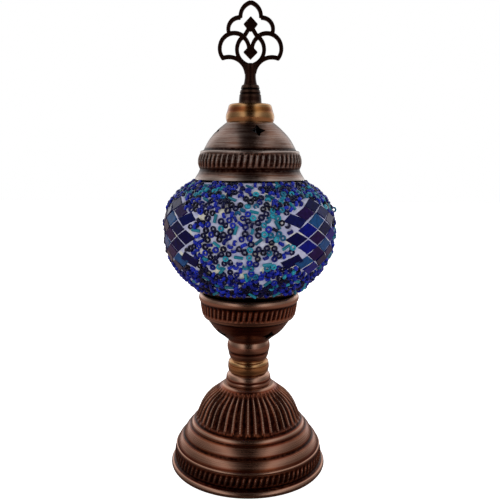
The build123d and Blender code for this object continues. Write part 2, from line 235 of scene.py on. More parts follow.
def turnedMetal(name, look):
    # spun and turned copper plate, darkened and wiped back: fine rings round the axis, brown left in
    # the hollows, brighter where it was wiped
    material, tree, shader = newMaterial(name, Metallic=1.0)
    coords = addNode(tree, "ShaderNodeTexCoord").outputs["Object"]
    xyz = addNode(tree, "ShaderNodeSeparateXYZ", [coords]).outputs
    flat = addNode(tree, "ShaderNodeCombineXYZ", [xyz[0], xyz[1]])
    radius = addNode(tree, "ShaderNodeVectorMath", [flat.outputs[0]], operation="LENGTH").outputs["Value"]
    drift = addNode(tree, "ShaderNodeMath", [xyz[0], look["drift"]], operation="MULTIPLY")
    ringAt = addNode(tree, "ShaderNodeCombineXYZ", [radius, xyz[2], drift.outputs[0]])
    rings = addNode(tree, "ShaderNodeTexNoise", {"Vector": ringAt.outputs[0],
                                                 "Scale": 1000 / look["ringMm"],
                                                 "Detail": 3.0, "Roughness": 0.65}).outputs[0]
    blotch = addNode(tree, "ShaderNodeTexNoise", {"Vector": coords, "Scale": 1000 / look["blotchMm"],
                                                  "Detail": 4.0, "Roughness": 0.6}).outputs[0]
    grime = addNode(tree, "ShaderNodeTexNoise", {"Vector": coords, "Scale": 1000 / 2.2,
                                                 "Detail": 3.0}).outputs[0]
    hollow = addNode(tree, "ShaderNodeAttribute", attribute_name="hollow").outputs["Fac"]
    warm = addNode(tree, "ShaderNodeMapRange", {0: blotch, 1: 0.38, 2: 0.66})
    tone = addNode(tree, "ShaderNodeMix", {0: warm.outputs[0], 6: hexColour(look["body"]),
                                           7: hexColour(look["warm"])}, data_type="RGBA")
    wiped = addNode(tree, "ShaderNodeMapRange", {0: rings, 1: 0.42, 2: 0.72, 3: 0.0, 4: look["wipe"]})
    crest = addNode(tree, "ShaderNodeMath", [hollow, -look["crest"]], operation="MULTIPLY",
                    use_clamp=True)
    rubbed = addNode(tree, "ShaderNodeMath", [wiped.outputs[0], crest.outputs[0]], operation="ADD",
                     use_clamp=True)
    worn = addNode(tree, "ShaderNodeMix", {0: rubbed.outputs[0], 6: tone.outputs[2],
                                           7: hexColour(look["worn"])}, data_type="RGBA")
    breakUp = addNode(tree, "ShaderNodeMapRange", {0: grime, 1: 0.3, 2: 0.7, 3: 0.75, 4: 1.15})
    depth = addNode(tree, "ShaderNodeMath", [hollow, breakUp.outputs[0]], operation="MULTIPLY",
                    use_clamp=True)
    colour = addNode(tree, "ShaderNodeMix", {0: depth.outputs[0], 6: worn.outputs[2],
                                             7: hexColour(look["recess"])}, data_type="RGBA")
    tree.links.new(colour.outputs[2], shader["Base Color"])
    low, high = look["rough"]
    gloss = addNode(tree, "ShaderNodeMapRange", {0: rings, 1: 0.3, 2: 0.75, 3: low, 4: high})
    dulled = addNode(tree, "ShaderNodeMath", [depth.outputs[0], 0.16, gloss.outputs[0]],
                     operation="MULTIPLY_ADD")
    tree.links.new(dulled.outputs[0], shader["Roughness"])
    dents = addNode(tree, "ShaderNodeTexNoise", {"Vector": coords, "Scale": 1000 / look["dentMm"],
                                                 "Detail": 1.0})
    first = addNode(tree, "ShaderNodeBump", {"Height": dents.outputs[0],
                                             "Distance": look["dentDepth"] * mm})
    second = addNode(tree, "ShaderNodeBump", {"Height": rings, "Distance": look["ringDepth"] * mm,
                                              "Normal": first.outputs[0]})
    tree.links.new(second.outputs[0], shader["Normal"])
    return material


copperLook = {
    "body": "62291A", "warm": "7C3E22", "worn": "B08A76", "recess": "1E0603", "wipe": 0.28, "crest": 0.75,
    "ringMm": 0.8, "ringDepth": 0.02, "drift": 0.02, "blotchMm": 22.0, "dentMm": 9.0, "dentDepth": 0.10,
    "rough": (0.20, 0.34),
}
# dark red brown with a soft shine: base, plain rings and cup
antiqueCopper = turnedMetal("antique_copper_plate", copperLook)
# greyer and more scratched round, where the cap was wiped back furthest
capCopper = turnedMetal("antique_copper_plate_dull", {
    **copperLook, "body": "5A3A30", "warm": "6C4632", "worn": "A2928A", "wipe": 0.7, "ringMm": 0.9,
    "ringDepth": 0.045, "drift": 0.05, "dentDepth": 0.32, "rough": (0.22, 0.38)})
# warm yellow copper under lacquer: the middle ring and the collar
goldenCopper = turnedMetal("lacquered_golden_copper", {
    **copperLook, "body": "8A4424", "warm": "A4703C", "worn": "BC9468", "recess": "3A0E04", "wipe": 0.3,
    "dentDepth": 0.05, "rough": (0.20, 0.30)})
# almost black brown, uneven like a casting: cone and finial
darkCast = turnedMetal("oil_darkened_cast_brass", {
    **copperLook, "body": "2A1611", "warm": "341E18", "worn": "5A4438", "recess": "0C0504", "wipe": 0.2,
    "crest": 0.5, "ringMm": 1.4, "dentMm": 1.6, "dentDepth": 0.10, "rough": (0.34, 0.5)})


def mottled(name, dark, light, grainMm, rough, bumpMm, stretch=(1, 1, 1), **sockets):
    # a plain stock material: two close tones, a grain of a real size, its own roughness range
    material, tree, shader = newMaterial(name, **sockets)
    coords = addNode(tree, "ShaderNodeTexCoord").outputs["Object"]
    scaled = addNode(tree, "ShaderNodeMapping", {"Vector": coords, "Scale": stretch})
    grain = addNode(tree, "ShaderNodeTexNoise", {"Vector": scaled.outputs[0], "Scale": 1000 / grainMm,
                                                 "Detail": 4.0, "Roughness": 0.6}).outputs[0]
    spread = addNode(tree, "ShaderNodeMapRange", {0: grain, 1: 0.3, 2: 0.7})
    colour = addNode(tree, "ShaderNodeMix", {0: spread.outputs[0], 6: hexColour(dark),
                                             7: hexColour(light)},
                     data_type="RGBA")
    tree.links.new(colour.outputs[2], shader["Base Color"])
    gloss = addNode(tree, "ShaderNodeMapRange", {0: grain, 1: 0.3, 2: 0.7, 3: rough[0], 4: rough[1]})
    tree.links.new(gloss.outputs[0], shader["Roughness"])
    bump = addNode(tree, "ShaderNodeBump", {"Height": grain, "Distance": bumpMm * mm})
    tree.links.new(bump.outputs[0], shader["Normal"])
    return material


# pale yellow plate, near mirror bright
platedBrass = mottled("nickel_plated_brass", "B9A878", "D9CDA6", 3.0, (0.18, 0.3), 0.01, Metallic=1.0)
# grey, with the small cloudy crystals of zinc
zincSteel = mottled("zinc_plated_steel", "8E9298", "B4B8BC", 1.5, (0.28, 0.44), 0.015, Metallic=1.0)
# dark blue grey, drawn lengthwise
springSteel = mottled("blued_spring_steel", "4A4E58", "6C7078", 2.0, (0.22, 0.36), 0.008, (1, 8, 1),
                      Metallic=1.0)
# dull grey wire
tungsten = mottled("drawn_tungsten", "55524E", "7C7872", 0.6, (0.3, 0.4), 0.01, Metallic=1.0)
# sand-cast grain under black paint
castIron = mottled("painted_cast_iron", "1C1D1F", "2E3033", 1.2, (0.5, 0.75), 0.12)
# near black, with faint flow marks
bakelite = mottled("moulded_bakelite", "15100E", "241A16", 2.5, (0.22, 0.34), 0.01)
# off-white glaze, smooth and wet looking
porcelain = mottled("glazed_porcelain", "DDD8CC", "F0ECE2", 4.0, (0.1, 0.18), 0.02)
# matt black, finely pitted
rubber = mottled("moulded_rubber", "121212", "1E1E1D", 0.5, (0.6, 0.8), 0.03)
# green wool, no gloss, fibre tufts drawn at 0.35 mm because finer ones would not show
felt = mottled("pressed_wool_felt", "14201A", "24362C", 0.35, (0.9, 1.0), 0.18, Sheen_Weight=0.3)


def clearGlass(name, tint, rough, waveMm, waveDepth):
    # blown soda-lime glass: clear, with slow waves in its wall
    material, tree, shader = newMaterial(name, Base_Color=hexColour(tint), Roughness=rough, IOR=1.52,
                                         Transmission_Weight=1.0)
    coords = addNode(tree, "ShaderNodeTexCoord").outputs["Object"]
    wave = addNode(tree, "ShaderNodeTexNoise", {"Vector": coords, "Scale": 1000 / waveMm, "Detail": 1.0})
    bump = addNode(tree, "ShaderNodeBump", {"Height": wave.outputs[0], "Distance": waveDepth * mm})
    tree.links.new(bump.outputs[0], shader["Normal"])
    return material


# grey blue tint that is painted shade: the clear glass darkened for the shadow behind it, dark where it is
# seen on edge
globeGlassPaintedShade = clearGlass("blown_globe_glass", "2A2E38", 0.03, 12.0, 0.15)
# nearly colourless, thin and even
bulbGlass = clearGlass("bulb_glass", "F2F4F4", 0.01, 20.0, 0.03)


def beadGlass(name, dark, light, rough=0.1, **sockets):
    # pressed glass: deep colour, bright gloss; "shade" differs from bead to bead
    material, tree, shader = newMaterial(name, Roughness=rough, IOR=1.52, Specular_IOR_Level=0.3,
                                         **sockets)
    shade = addNode(tree, "ShaderNodeAttribute", attribute_name="shade").outputs["Fac"]
    coords = addNode(tree, "ShaderNodeTexCoord").outputs["Object"]
    streak = addNode(tree, "ShaderNodeTexNoise", {"Vector": coords, "Scale": 1000 / 1.6,
                                                  "Detail": 2.0}).outputs[0]
    spread = addNode(tree, "ShaderNodeMath", [streak, 0.5], operation="SUBTRACT")
    mixed = addNode(tree, "ShaderNodeMath", [spread.outputs[0], 0.7, shade], operation="MULTIPLY_ADD",
                    use_clamp=True)
    colour = addNode(tree, "ShaderNodeMix", {0: mixed.outputs[0], 6: hexColour(dark),
                                             7: hexColour(light)},
                     data_type="RGBA")
    tree.links.new(colour.outputs[2], shader["Base Color"])
    return material


# nearly black blue, as rings against the plaster
navyBead = beadGlass("navy_seed_bead_glass", "02041A", "080E40")
# strong blue, the colour that the whole globe is read by
cobaltBead = beadGlass("cobalt_seed_bead_glass", "06105E", "1A2EB0")
# clear green blue, the light spots of the mosaic
tealBead = beadGlass("teal_seed_bead_glass", "0C4E78", "2E9CB4")
# the same family a shade greyer, as short sticks
tealTube = beadGlass("teal_bugle_bead_glass", "0C4A66", "2A889C")

# plaster: pale, grainy, a few cream spots; its lavender clouds are painted light, the blue of the glass
# round it thrown onto it
plaster, tree, shader = newMaterial("white_glass_plaster", IOR=1.45)
coords = addNode(tree, "ShaderNodeTexCoord").outputs["Object"]
cloud = addNode(tree, "ShaderNodeTexNoise", {"Vector": coords, "Scale": 1000 / 6.0,
                                             "Detail": 3.0}).outputs[0]
spots = addNode(tree, "ShaderNodeTexNoise", {"Vector": coords, "Scale": 1000 / 9.0,
                                             "Detail": 1.0}).outputs[0]
glassLightCloud = addNode(tree, "ShaderNodeMix", {0: cloud, 6: hexColour("9494CC"), 7: hexColour("E6E8F4")},
                 data_type="RGBA")
cream = addNode(tree, "ShaderNodeMapRange", {0: spots, 1: 0.58, 2: 0.68})
colour = addNode(tree, "ShaderNodeMix", {0: cream.outputs[0], 6: glassLightCloud.outputs[2],
                                         7: hexColour("E6E2D2")},
                 data_type="RGBA")
tree.links.new(colour.outputs[2], shader["Base Color"])
grit = addNode(tree, "ShaderNodeTexNoise", {"Vector": coords, "Scale": 1000 / 0.7,
                                            "Detail": 4.0}).outputs[0]
gloss = addNode(tree, "ShaderNodeMapRange", {0: grit, 1: 0.3, 2: 0.7, 3: 0.35, 4: 0.6})
tree.links.new(gloss.outputs[0], shader["Roughness"])
bump = addNode(tree, "ShaderNodeBump", {"Height": grit, "Distance": 0.08 * mm})
tree.links.new(bump.outputs[0], shader["Normal"])

# tiles: cut sheet glass, five colours picked by "tone", faint rolling waves
tileGlass, tree, shader = newMaterial("cut_mosaic_sheet_glass", Roughness=0.2, IOR=1.47,
                                      Specular_IOR_Level=0.12)
tone = addNode(tree, "ShaderNodeAttribute", attribute_name="tone").outputs["Fac"]
ramp = addNode(tree, "ShaderNodeValToRGB", [tone])
ramp.color_ramp.interpolation = "CONSTANT"
tileColours = ["03063A", "08106E", "200E40", "104478", "0A1048"]
ramp.color_ramp.elements[0].color = hexColour(tileColours[0])
ramp.color_ramp.elements[1].position = 0.8
ramp.color_ramp.elements[1].color = hexColour(tileColours[4])
for k in (1, 2, 3):
    ramp.color_ramp.elements.new(0.2 * k).color = hexColour(tileColours[k])
coords = addNode(tree, "ShaderNodeTexCoord").outputs["Object"]
wave = addNode(tree, "ShaderNodeTexNoise", {"Vector": coords, "Scale": 1000 / 3.0,
                                            "Detail": 2.0}).outputs[0]
lift = addNode(tree, "ShaderNodeMapRange", {0: wave, 1: 0.3, 2: 0.7, 3: 0.75, 4: 1.35})
colour = addNode(tree, "ShaderNodeVectorMath", [ramp.outputs[0], lift.outputs[0]], operation="MULTIPLY")
tree.links.new(colour.outputs[0], shader["Base Color"])
bump = addNode(tree, "ShaderNodeBump", {"Height": wave, "Distance": 0.08 * mm})
tree.links.new(bump.outputs[0], shader["Normal"])
print("materials ready")


# outlines and turned shapes

def sampleRun(points, step):
    # places along a line, a three-point arc or a smooth curve, by how many points it has
    given = np.array(points, float)
    if len(given) == 3:
        a, b, c = given[:, 0] + 1j * given[:, 1]
        w = (c - a) / (b - a)
        centre = a + (b - a) * (w - abs(w) ** 2) / (2j * w.imag)
        sweep = np.angle((c - centre) / (a - centre)) % (2 * np.pi)
        turn = sweep if np.angle((b - centre) / (a - centre)) % (2 * np.pi) < sweep else sweep - 2 * np.pi
        count = max(3, math.ceil(abs(turn) * abs(a - centre) / step))
        arc = centre + (a - centre) * np.exp(1j * turn * np.linspace(0, 1, count + 1))
        return np.column_stack([arc.real, arc.imag])
    chords = np.r_[0, np.cumsum(np.hypot(*np.diff(given, axis=0).T))]
    at = np.linspace(0, chords[-1], max(1, math.ceil(chords[-1] / step)) + 1)
    if len(given) == 2:
        return given[0] + (given[1] - given[0]) * (at / chords[-1])[:, None]
    slopes = np.gradient(given, chords, axis=0, edge_order=2)
    k = np.clip(np.searchsorted(chords, at, side="right") - 1, 0, len(given) - 2)
    h = (chords[k + 1] - chords[k])[:, None]
    s = (at[:, None] - chords[k][:, None]) / h
    ends = (2 * s**3 - 3 * s**2 + 1) * given[k] + (3 * s**2 - 2 * s**3) * given[k + 1]
    return ends + h * ((s**3 - 2 * s**2 + s) * slopes[k] + (s**3 - s**2) * slopes[k + 1])


def outline(runs, step):
    # runs of one outline joined end to end, with no place twice; a run may bring its own step
    sized = [run if isinstance(run, tuple) else (run, step) for run in runs]
    line = np.vstack([sampleRun(points, size) for points, size in sized])
    keep = np.r_[True, np.hypot(*np.diff(line, axis=0).T) > 1e-4]
    return line[keep]


def chain(*points):
    return [[start, end] for start, end in zip(points, points[1:])]


def turnSense(line):
    # 1 for an outline that runs counterclockwise, -1 for the other way
    x, y = line[:, 0], line[:, 1]
    return 1 if np.sum(x * np.roll(y, -1) - np.roll(x, -1) * y) > 0 else -1


def turned(name, line, segments, material, closed=True):
    # turns an outline of (radius, height) in mm about Z, and notes where it is hollow and where a crest
    line = np.asarray(line, float)
    if closed and np.hypot(*(line[0] - line[-1])) < 1e-4:
        line = line[:-1]
    rows = len(line)
    angles = np.arange(segments) * 2 * np.pi / segments
    ring = np.column_stack([np.sin(angles), -np.cos(angles)])
    verts = np.zeros((rows, segments, 3))
    verts[:, :, :2] = line[:, None, :1] * ring[None]
    verts[:, :, 2] = line[:, None, 1]
    faces = []
    for i in range(rows if closed else rows - 1):
        a, b = i * segments, (i + 1) % rows * segments
        faces += [(a + j, a + (j + 1) % segments, b + (j + 1) % segments, b + j) for j in range(segments)]
    obj = newObject(name, verts.reshape(-1, 3) * mm, faces, material)
    if closed and turnSense(line) < 0:
        obj.data.flip_normals()
    spot = obj.data.attributes.new("hollow", "FLOAT", "POINT")
    spot.data.foreach_set("value", np.repeat(cavity(line, closed), segments).astype(np.float32))
    return obj


def cavity(line, closed, reach=2.2, full=0.34):
    # from 1 in grooves to -1 on crests: how far the outline lies below its own average
    if not closed:
        return np.zeros(len(line))
    count = len(line)
    steps = np.hypot(*(np.roll(line, -1, axis=0) - line).T)
    along = np.r_[0, np.cumsum(steps)]
    around = np.vstack([line] * 3 + [line[:1]])
    atAll = np.concatenate([along[:-1] - along[-1], along[:-1], along[:-1] + along[-1], [2 * along[-1]]])
    result = np.zeros(count)
    direction = turnSense(line)
    for k in range(count):
        before, after = along[k] - reach, along[k] + reach
        p = np.array([np.interp(before, atAll, around[:, c]) for c in (0, 1)])
        q = np.array([np.interp(after, atAll, around[:, c]) for c in (0, 1)])
        way = (q - p) / max(np.hypot(*(q - p)), 1e-9)
        normal = np.array([way[1], -way[0]]) * direction
        result[k] = np.dot((p + q) / 2 - line[k], normal)
    return np.clip(result / full, -1, 1)


# flutes, ribs and threads: one tree pushes a turned surface in between evenly spaced ribs

fluteTree, given, result = newTree("flutes_round_a_turned_surface", [
    ("Count", "Float", 40.0), ("Depth", "Float", 0.0005), ("Slant", "Float", 0.0), ("Low", "Float", 0.0),
    ("High", "Float", 1.0), ("Fade", "Float", 0.002), ("Round End", "Float", 0.0),
    ("Rib Sharpness", "Float", 2.0),
    ("Tarnish", "Float", 1.0), ("Material", "Material", None)])
position = addNode(fluteTree, "GeometryNodeInputPosition").outputs[0]
xyz = addNode(fluteTree, "ShaderNodeSeparateXYZ", [position]).outputs
away = addNode(fluteTree, "ShaderNodeMath", [xyz[1], -1.0], operation="MULTIPLY").outputs[0]
angle = addNode(fluteTree, "ShaderNodeMath", [xyz[0], away], operation="ARCTAN2").outputs[0]
rise = addNode(fluteTree, "ShaderNodeMath", [xyz[2], given["Low"]], operation="SUBTRACT").outputs[0]
lean = addNode(fluteTree, "ShaderNodeMath", [rise, given["Slant"]], operation="MULTIPLY").outputs[0]
straight = addNode(fluteTree, "ShaderNodeMath", [angle, lean], operation="SUBTRACT").outputs[0]
phase = addNode(fluteTree, "ShaderNodeMath", [straight, given["Count"]], operation="MULTIPLY").outputs[0]
swing = addNode(fluteTree, "ShaderNodeMath", [phase], operation="COSINE").outputs[0]
unit = addNode(fluteTree, "ShaderNodeMath", [swing, 0.5, 0.5], operation="MULTIPLY_ADD",
               use_clamp=True).outputs[0]
rib = addNode(fluteTree, "ShaderNodeMath", [unit, given["Rib Sharpness"]], operation="POWER").outputs[0]
channel = addNode(fluteTree, "ShaderNodeMath", [1.0, rib], operation="SUBTRACT").outputs[0]
bend = addNode(fluteTree, "ShaderNodeMath", [rib, given["Round End"]], operation="MULTIPLY").outputs[0]
lowEdge = addNode(fluteTree, "ShaderNodeMath", [given["Low"], bend], operation="ADD").outputs[0]
lowTop = addNode(fluteTree, "ShaderNodeMath", [lowEdge, given["Fade"]], operation="ADD").outputs[0]
highEdge = addNode(fluteTree, "ShaderNodeMath", [given["High"], bend], operation="SUBTRACT").outputs[0]
highFoot = addNode(fluteTree, "ShaderNodeMath", [highEdge, given["Fade"]],
                   operation="SUBTRACT").outputs[0]
fromLow = addNode(fluteTree, "ShaderNodeMapRange", {0: xyz[2], 1: lowEdge, 2: lowTop},
                  interpolation_type="SMOOTHSTEP").outputs[0]
fromHigh = addNode(fluteTree, "ShaderNodeMapRange", {0: xyz[2], 1: highEdge, 2: highFoot},
                   interpolation_type="SMOOTHSTEP").outputs[0]
band = addNode(fluteTree, "ShaderNodeMath", [fromLow, fromHigh], operation="MULTIPLY").outputs[0]
sunk = addNode(fluteTree, "ShaderNodeMath", [band, channel], operation="MULTIPLY").outputs[0]
normal = addNode(fluteTree, "GeometryNodeInputNormal").outputs[0]
outward = addNode(fluteTree, "ShaderNodeCombineXYZ", [xyz[0], xyz[1]]).outputs[0]
facing = addNode(fluteTree, "ShaderNodeVectorMath", [normal, outward],
                 operation="DOT_PRODUCT").outputs["Value"]
sign = addNode(fluteTree, "ShaderNodeMath", [facing], operation="SIGN").outputs[0]
pushed = addNode(fluteTree, "ShaderNodeMath", [sunk, given["Depth"]], operation="MULTIPLY").outputs[0]
signed = addNode(fluteTree, "ShaderNodeMath", [pushed, sign], operation="MULTIPLY").outputs[0]
inward = addNode(fluteTree, "ShaderNodeMath", [signed, -1.0], operation="MULTIPLY").outputs[0]
offset = addNode(fluteTree, "ShaderNodeVectorMath", {0: normal, "Scale": inward},
                 operation="SCALE").outputs[0]
before = addNode(fluteTree, "GeometryNodeInputNamedAttribute", ["hollow"], data_type="FLOAT").outputs[0]
stained = addNode(fluteTree, "ShaderNodeMath", [channel, given["Tarnish"]],
                  operation="MULTIPLY").outputs[0]
rubbed = addNode(fluteTree, "ShaderNodeMath", [rib, given["Tarnish"]], operation="MULTIPLY").outputs[0]
within = addNode(fluteTree, "ShaderNodeMath", [stained, rubbed], operation="SUBTRACT").outputs[0]
change = addNode(fluteTree, "ShaderNodeMath", [within, before], operation="SUBTRACT").outputs[0]
deepest = addNode(fluteTree, "ShaderNodeMath", [change, band, before],
                  operation="MULTIPLY_ADD").outputs[0]
stored = addNode(fluteTree, "GeometryNodeStoreNamedAttribute",
                 {"Geometry": given["Geometry"], "Name": "hollow", "Value": deepest},
                 data_type="FLOAT", domain="POINT")
moved = addNode(fluteTree, "GeometryNodeSetPosition", {"Geometry": stored.outputs[0], "Offset": offset})
real = addNode(fluteTree, "GeometryNodeRealizeInstances", [moved.outputs[0]])
painted = addNode(fluteTree, "GeometryNodeSetMaterial", {"Geometry": real.outputs[0],
                                                         "Material": given["Material"]})
fluteTree.links.new(painted.outputs[0], result[0])


def cutStars(obj, height, firstAngle, width=11.4, tall=8.8, waist=0.4):
    # four pierced stars with notched sides, cut straight through the sheet
    notch = waist * tall / 2
    corners = [(width / 2, 0), (notch, notch), (0, tall / 2), (-notch, notch),
               (-width / 2, 0), (-notch, -notch), (0, -tall / 2), (notch, -notch)]
    verts, faces = [], []
    for k in range(4):
        spin = Matrix.Rotation(math.radians(firstAngle + 90 * k), 4, "Z")
        start = len(verts)
        for depth in (-9, -46):
            verts += [spin @ Vector((x * mm, depth * mm, (height + z) * mm)) for x, z in corners]
        faces.append(tuple(range(start, start + 8)))
        faces.append(tuple(range(start + 15, start + 7, -1)))
        faces += [(start + j, start + 8 + j, start + 8 + (j + 1) % 8,
                   start + (j + 1) % 8) for j in range(8)]
    cutter = newObject("cutter", verts, faces, obj.data.materials[0], smooth=False)
    work = bmesh.new()
    work.from_mesh(cutter.data)
    bmesh.ops.recalc_face_normals(work, faces=work.faces)
    work.to_mesh(cutter.data)
    work.free()
    modifier = obj.modifiers.new("stars", "BOOLEAN")
    modifier.object = cutter
    modifier.operation = "DIFFERENCE"
    modifier.solver = "EXACT"
    keepResult(obj)
    bpy.data.objects.remove(cutter)
    return obj


# base shell

baseSizes = {
    "rimCentre": (57.4, 3.0), "rimRadius": 2.5, "segments": 672,
    "domeFlutes": 42, "domeDepth": 1.15, "domeLow": 37.6, "domeHigh": 63.4, "domeFade": 2.6,
    "domeRoundEnd": 1.6, "domeSharpness": 3.2,
    "bandFlutes": 84, "bandDepth": 0.75, "bandSlant": 4.8, "bandLow": 6.9, "bandHigh": 15.9,
    "bandFade": 1.8, "bandRoundEnd": 1.0, "bandSharpness": 3.0,
}
cx, cz = baseSizes["rimCentre"]
rr = baseSizes["rimRadius"]
rimEnd = (cx + rr * math.cos(math.radians(78)), cz + rr * math.sin(math.radians(78)))
innerStart = (cx + rr * math.cos(math.radians(150)), cz + rr * math.sin(math.radians(150)))
innerMiddle = (innerStart[0], 2 * cz - innerStart[1])
baseLine = outline([
    [(cx, cz - rr), (cx + rr, cz), rimEnd],
    [rimEnd, (56.8, 6.4)],
    ([(56.8, 6.4), (57.2, 8.6), (57.1, 12.6), (55.9, 16.4)], 0.55),
    ([(55.9, 16.4), (56.2, 17.4), (55.3, 18.2)], 0.5),
    [(55.3, 18.2), (53.3, 22.3), (50.0, 25.4)],
    [(50.0, 25.4), (48.0, 29.8), (44.6, 33.2)],
    [(44.6, 33.2), (43.5, 35.3), (41.4, 36.8)],
    ([(41.4, 36.8), (38.6, 43.5), (36.0, 49.5), (31.4, 55.5), (25.4, 60.2), (19.0, 65.2)], 0.95),
    ([(19.0, 65.2), (5.1, 65.2)], 7),
    ([(5.1, 65.2), (5.1, 64.2)], 2),
    ([(5.1, 64.2), (18.2, 64.2)], 7),
    ([(18.2, 64.2), (24.6, 59.2), (30.4, 54.6), (34.9, 48.9), (37.4, 43.0), (39.8, 36.2)], 4),
    *[(c, 8) for c in chain((39.8, 36.2), (43.2, 32.4), (48.6, 24.6), (54.0, 17.6), (55.8, 12.6),
                            (55.6, 7.0),
                            innerStart)],
    ([innerStart, innerMiddle, (cx, cz - rr)], 1.2),
], 1.0)
baseShell = turned("base_shell_fluted", baseLine, baseSizes["segments"], antiqueCopper)
runTree(baseShell, fluteTree, {
    "Count": float(baseSizes["domeFlutes"]), "Depth": baseSizes["domeDepth"] * mm,
    "Low": baseSizes["domeLow"] * mm, "High": baseSizes["domeHigh"] * mm,
    "Fade": baseSizes["domeFade"] * mm, "Round End": baseSizes["domeRoundEnd"] * mm,
    "Rib Sharpness": baseSizes["domeSharpness"], "Material": antiqueCopper})
runTree(baseShell, fluteTree, {
    "Count": float(baseSizes["bandFlutes"]), "Depth": baseSizes["bandDepth"] * mm,
    "Slant": baseSizes["bandSlant"], "Low": baseSizes["bandLow"] * mm, "High": baseSizes["bandHigh"] * mm,
    "Fade": baseSizes["bandFade"] * mm, "Round End": baseSizes["bandRoundEnd"] * mm,
    "Rib Sharpness": baseSizes["bandSharpness"], "Material": antiqueCopper})
settle(sharpen(baseShell), "base", "antique_copper", "base_shell")


# stem rings

ringLines = {
    "stem_ring_lower": [
        [(5.0, 65.2), (16.6, 65.2)],
        [(16.6, 65.2), (17.6, 66.6), (17.1, 68.6)],
        [(17.1, 68.6), (16.9, 71.2), (15.3, 73.4)],
        [(15.3, 73.4), (13.6, 74.6)],
        [(13.6, 74.6), (5.0, 74.6)],
        [(5.0, 74.6), (5.0, 65.2)]],
    "stem_ring_middle": [
        [(5.0, 74.6), (14.6, 74.6)],
        [(14.6, 74.6), (15.2, 75.1), (15.5, 76.2)],
        [(15.5, 76.2), (15.9, 78.4), (15.8, 80.2)],
        [(15.8, 80.2), (15.5, 80.5), (15.6, 80.9)],
        [(15.6, 80.9), (15.1, 82.9), (13.9, 83.8)],
        [(13.9, 83.8), (13.5, 84.2), (13.5, 84.9)],
        [(13.5, 84.9), (5.0, 84.9)],
        [(5.0, 84.9), (5.0, 74.6)]],
    "stem_ring_upper": [
        [(5.0, 84.9), (13.7, 84.9)],
        [(13.7, 84.9), (15.1, 87.9), (15.6, 90.4)],
        [(15.6, 90.4), (15.2, 90.9), (15.8, 91.4)],
        [(15.8, 91.4), (16.4, 94.8), (15.2, 99.4)],
        [(15.2, 99.4), (5.0, 99.4)],
        [(5.0, 99.4), (5.0, 84.9)]],
}
ringSizes = {"segments": 192, "step": 0.35, "sharpAngle": 40}
ringFinish = {"stem_ring_middle": (goldenCopper, "bright_copper")}
for nodeName, runs in ringLines.items():
    metal, slotName = ringFinish.get(nodeName, (antiqueCopper, "antique_copper"))
    ring = turned(nodeName + "_turned", outline(runs, ringSizes["step"]), ringSizes["segments"], metal)
    settle(sharpen(ring, ringSizes["sharpAngle"]), "base", slotName, nodeName)


# lower cup

cupSizes = {
    "segments": 448, "flutes": 56, "depth": 0.7, "slant": 4.5, "low": 120.6, "high": 131.2, "fade": 2.2,
    "roundEnd": 1.2, "sharpness": 2.2, "starHeight": 108.2, "starAngle": 37.0,
}
cupLine = outline([
    ([(5.1, 99.4), (15.2, 99.4)], 6),
    ([(15.2, 99.4), (18.6, 102.6), (25.2, 107.9), (30.0, 114.1), (32.6, 118.0)], 0.9),
    ([(32.6, 118.0), (33.4, 118.0), (34.5, 118.8)], 0.4),
    ([(34.5, 118.8), (34.7, 119.4), (35.4, 120.4)], 0.4),
    ([(35.4, 120.4), (36.5, 125.6), (37.0, 130.6)], 0.5),
    ([(37.0, 130.6), (38.1, 133.6), (36.4, 136.8)], 0.6),
    ([(36.4, 136.8), (35.4, 136.8)], 1.2),
    *[(c, 3) for c in chain((35.4, 136.8), (36.1, 133.6), (35.5, 126.0), (34.6, 121.4))],
    ([(34.6, 121.4), (32.0, 119.0)], 3),
    ([(32.0, 119.0), (29.2, 114.6), (24.5, 108.6), (18.0, 103.5), (14.6, 100.4)], 2.5),
    ([(14.6, 100.4), (5.1, 100.4)], 6),
    ([(5.1, 100.4), (5.1, 99.4)], 2),
], 0.8)
cup = turned("lower_cup_fluted", cupLine, cupSizes["segments"], antiqueCopper)
runTree(cup, fluteTree, {
    "Count": float(cupSizes["flutes"]), "Depth": cupSizes["depth"] * mm, "Slant": cupSizes["slant"],
    "Low": cupSizes["low"] * mm, "High": cupSizes["high"] * mm, "Fade": cupSizes["fade"] * mm,
    "Round End": cupSizes["roundEnd"] * mm, "Rib Sharpness": cupSizes["sharpness"],
    "Material": antiqueCopper})
cutStars(cup, cupSizes["starHeight"], cupSizes["starAngle"])
settle(sharpen(cup), "base", "antique_copper", "lower_cup")


# cap

capSizes = {
    "segments": 448, "flutes": 56, "depth": 0.75, "slant": 3.6, "low": 230.0, "high": 241.2, "fade": 2.0,
    "roundEnd": 1.2, "sharpness": 2.4, "starHeight": 256.75, "starAngle": 13.0,
}
capLine = outline([
    ([(39.9, 222.1), (40.8, 222.1)], 1),
    ([(40.8, 222.1), (39.8, 224.0), (37.9, 227.0), (36.9, 229.6)], 0.8),
    ([(36.9, 229.6), (38.4, 235.2), (36.6, 241.0)], 0.6),
    ([(36.6, 241.0), (36.5, 242.2), (35.2, 242.9)], 0.4),
    ([(35.2, 242.9), (34.0, 243.4)], 0.6),
    ([(34.0, 243.4), (31.9, 247.7), (28.8, 252.5), (24.5, 257.2), (17.6, 263.2)], 0.9),
    *[(c, 6) for c in chain((17.6, 263.2), (2.6, 263.2), (2.6, 262.2), (16.9, 262.2))],
    ([(16.9, 262.2), (23.8, 256.4), (28.0, 251.8), (30.9, 247.2), (33.1, 242.4)], 2.2),
    ([(33.1, 242.4), (35.6, 240.4)], 3),
    ([(35.6, 240.4), (37.3, 235.2), (35.8, 229.6)], 2),
    ([(35.8, 229.6), (36.9, 226.6), (38.8, 223.7), (39.9, 222.1)], 2),
], 0.8)
cap = turned("cap_shell_fluted", capLine, capSizes["segments"], capCopper)
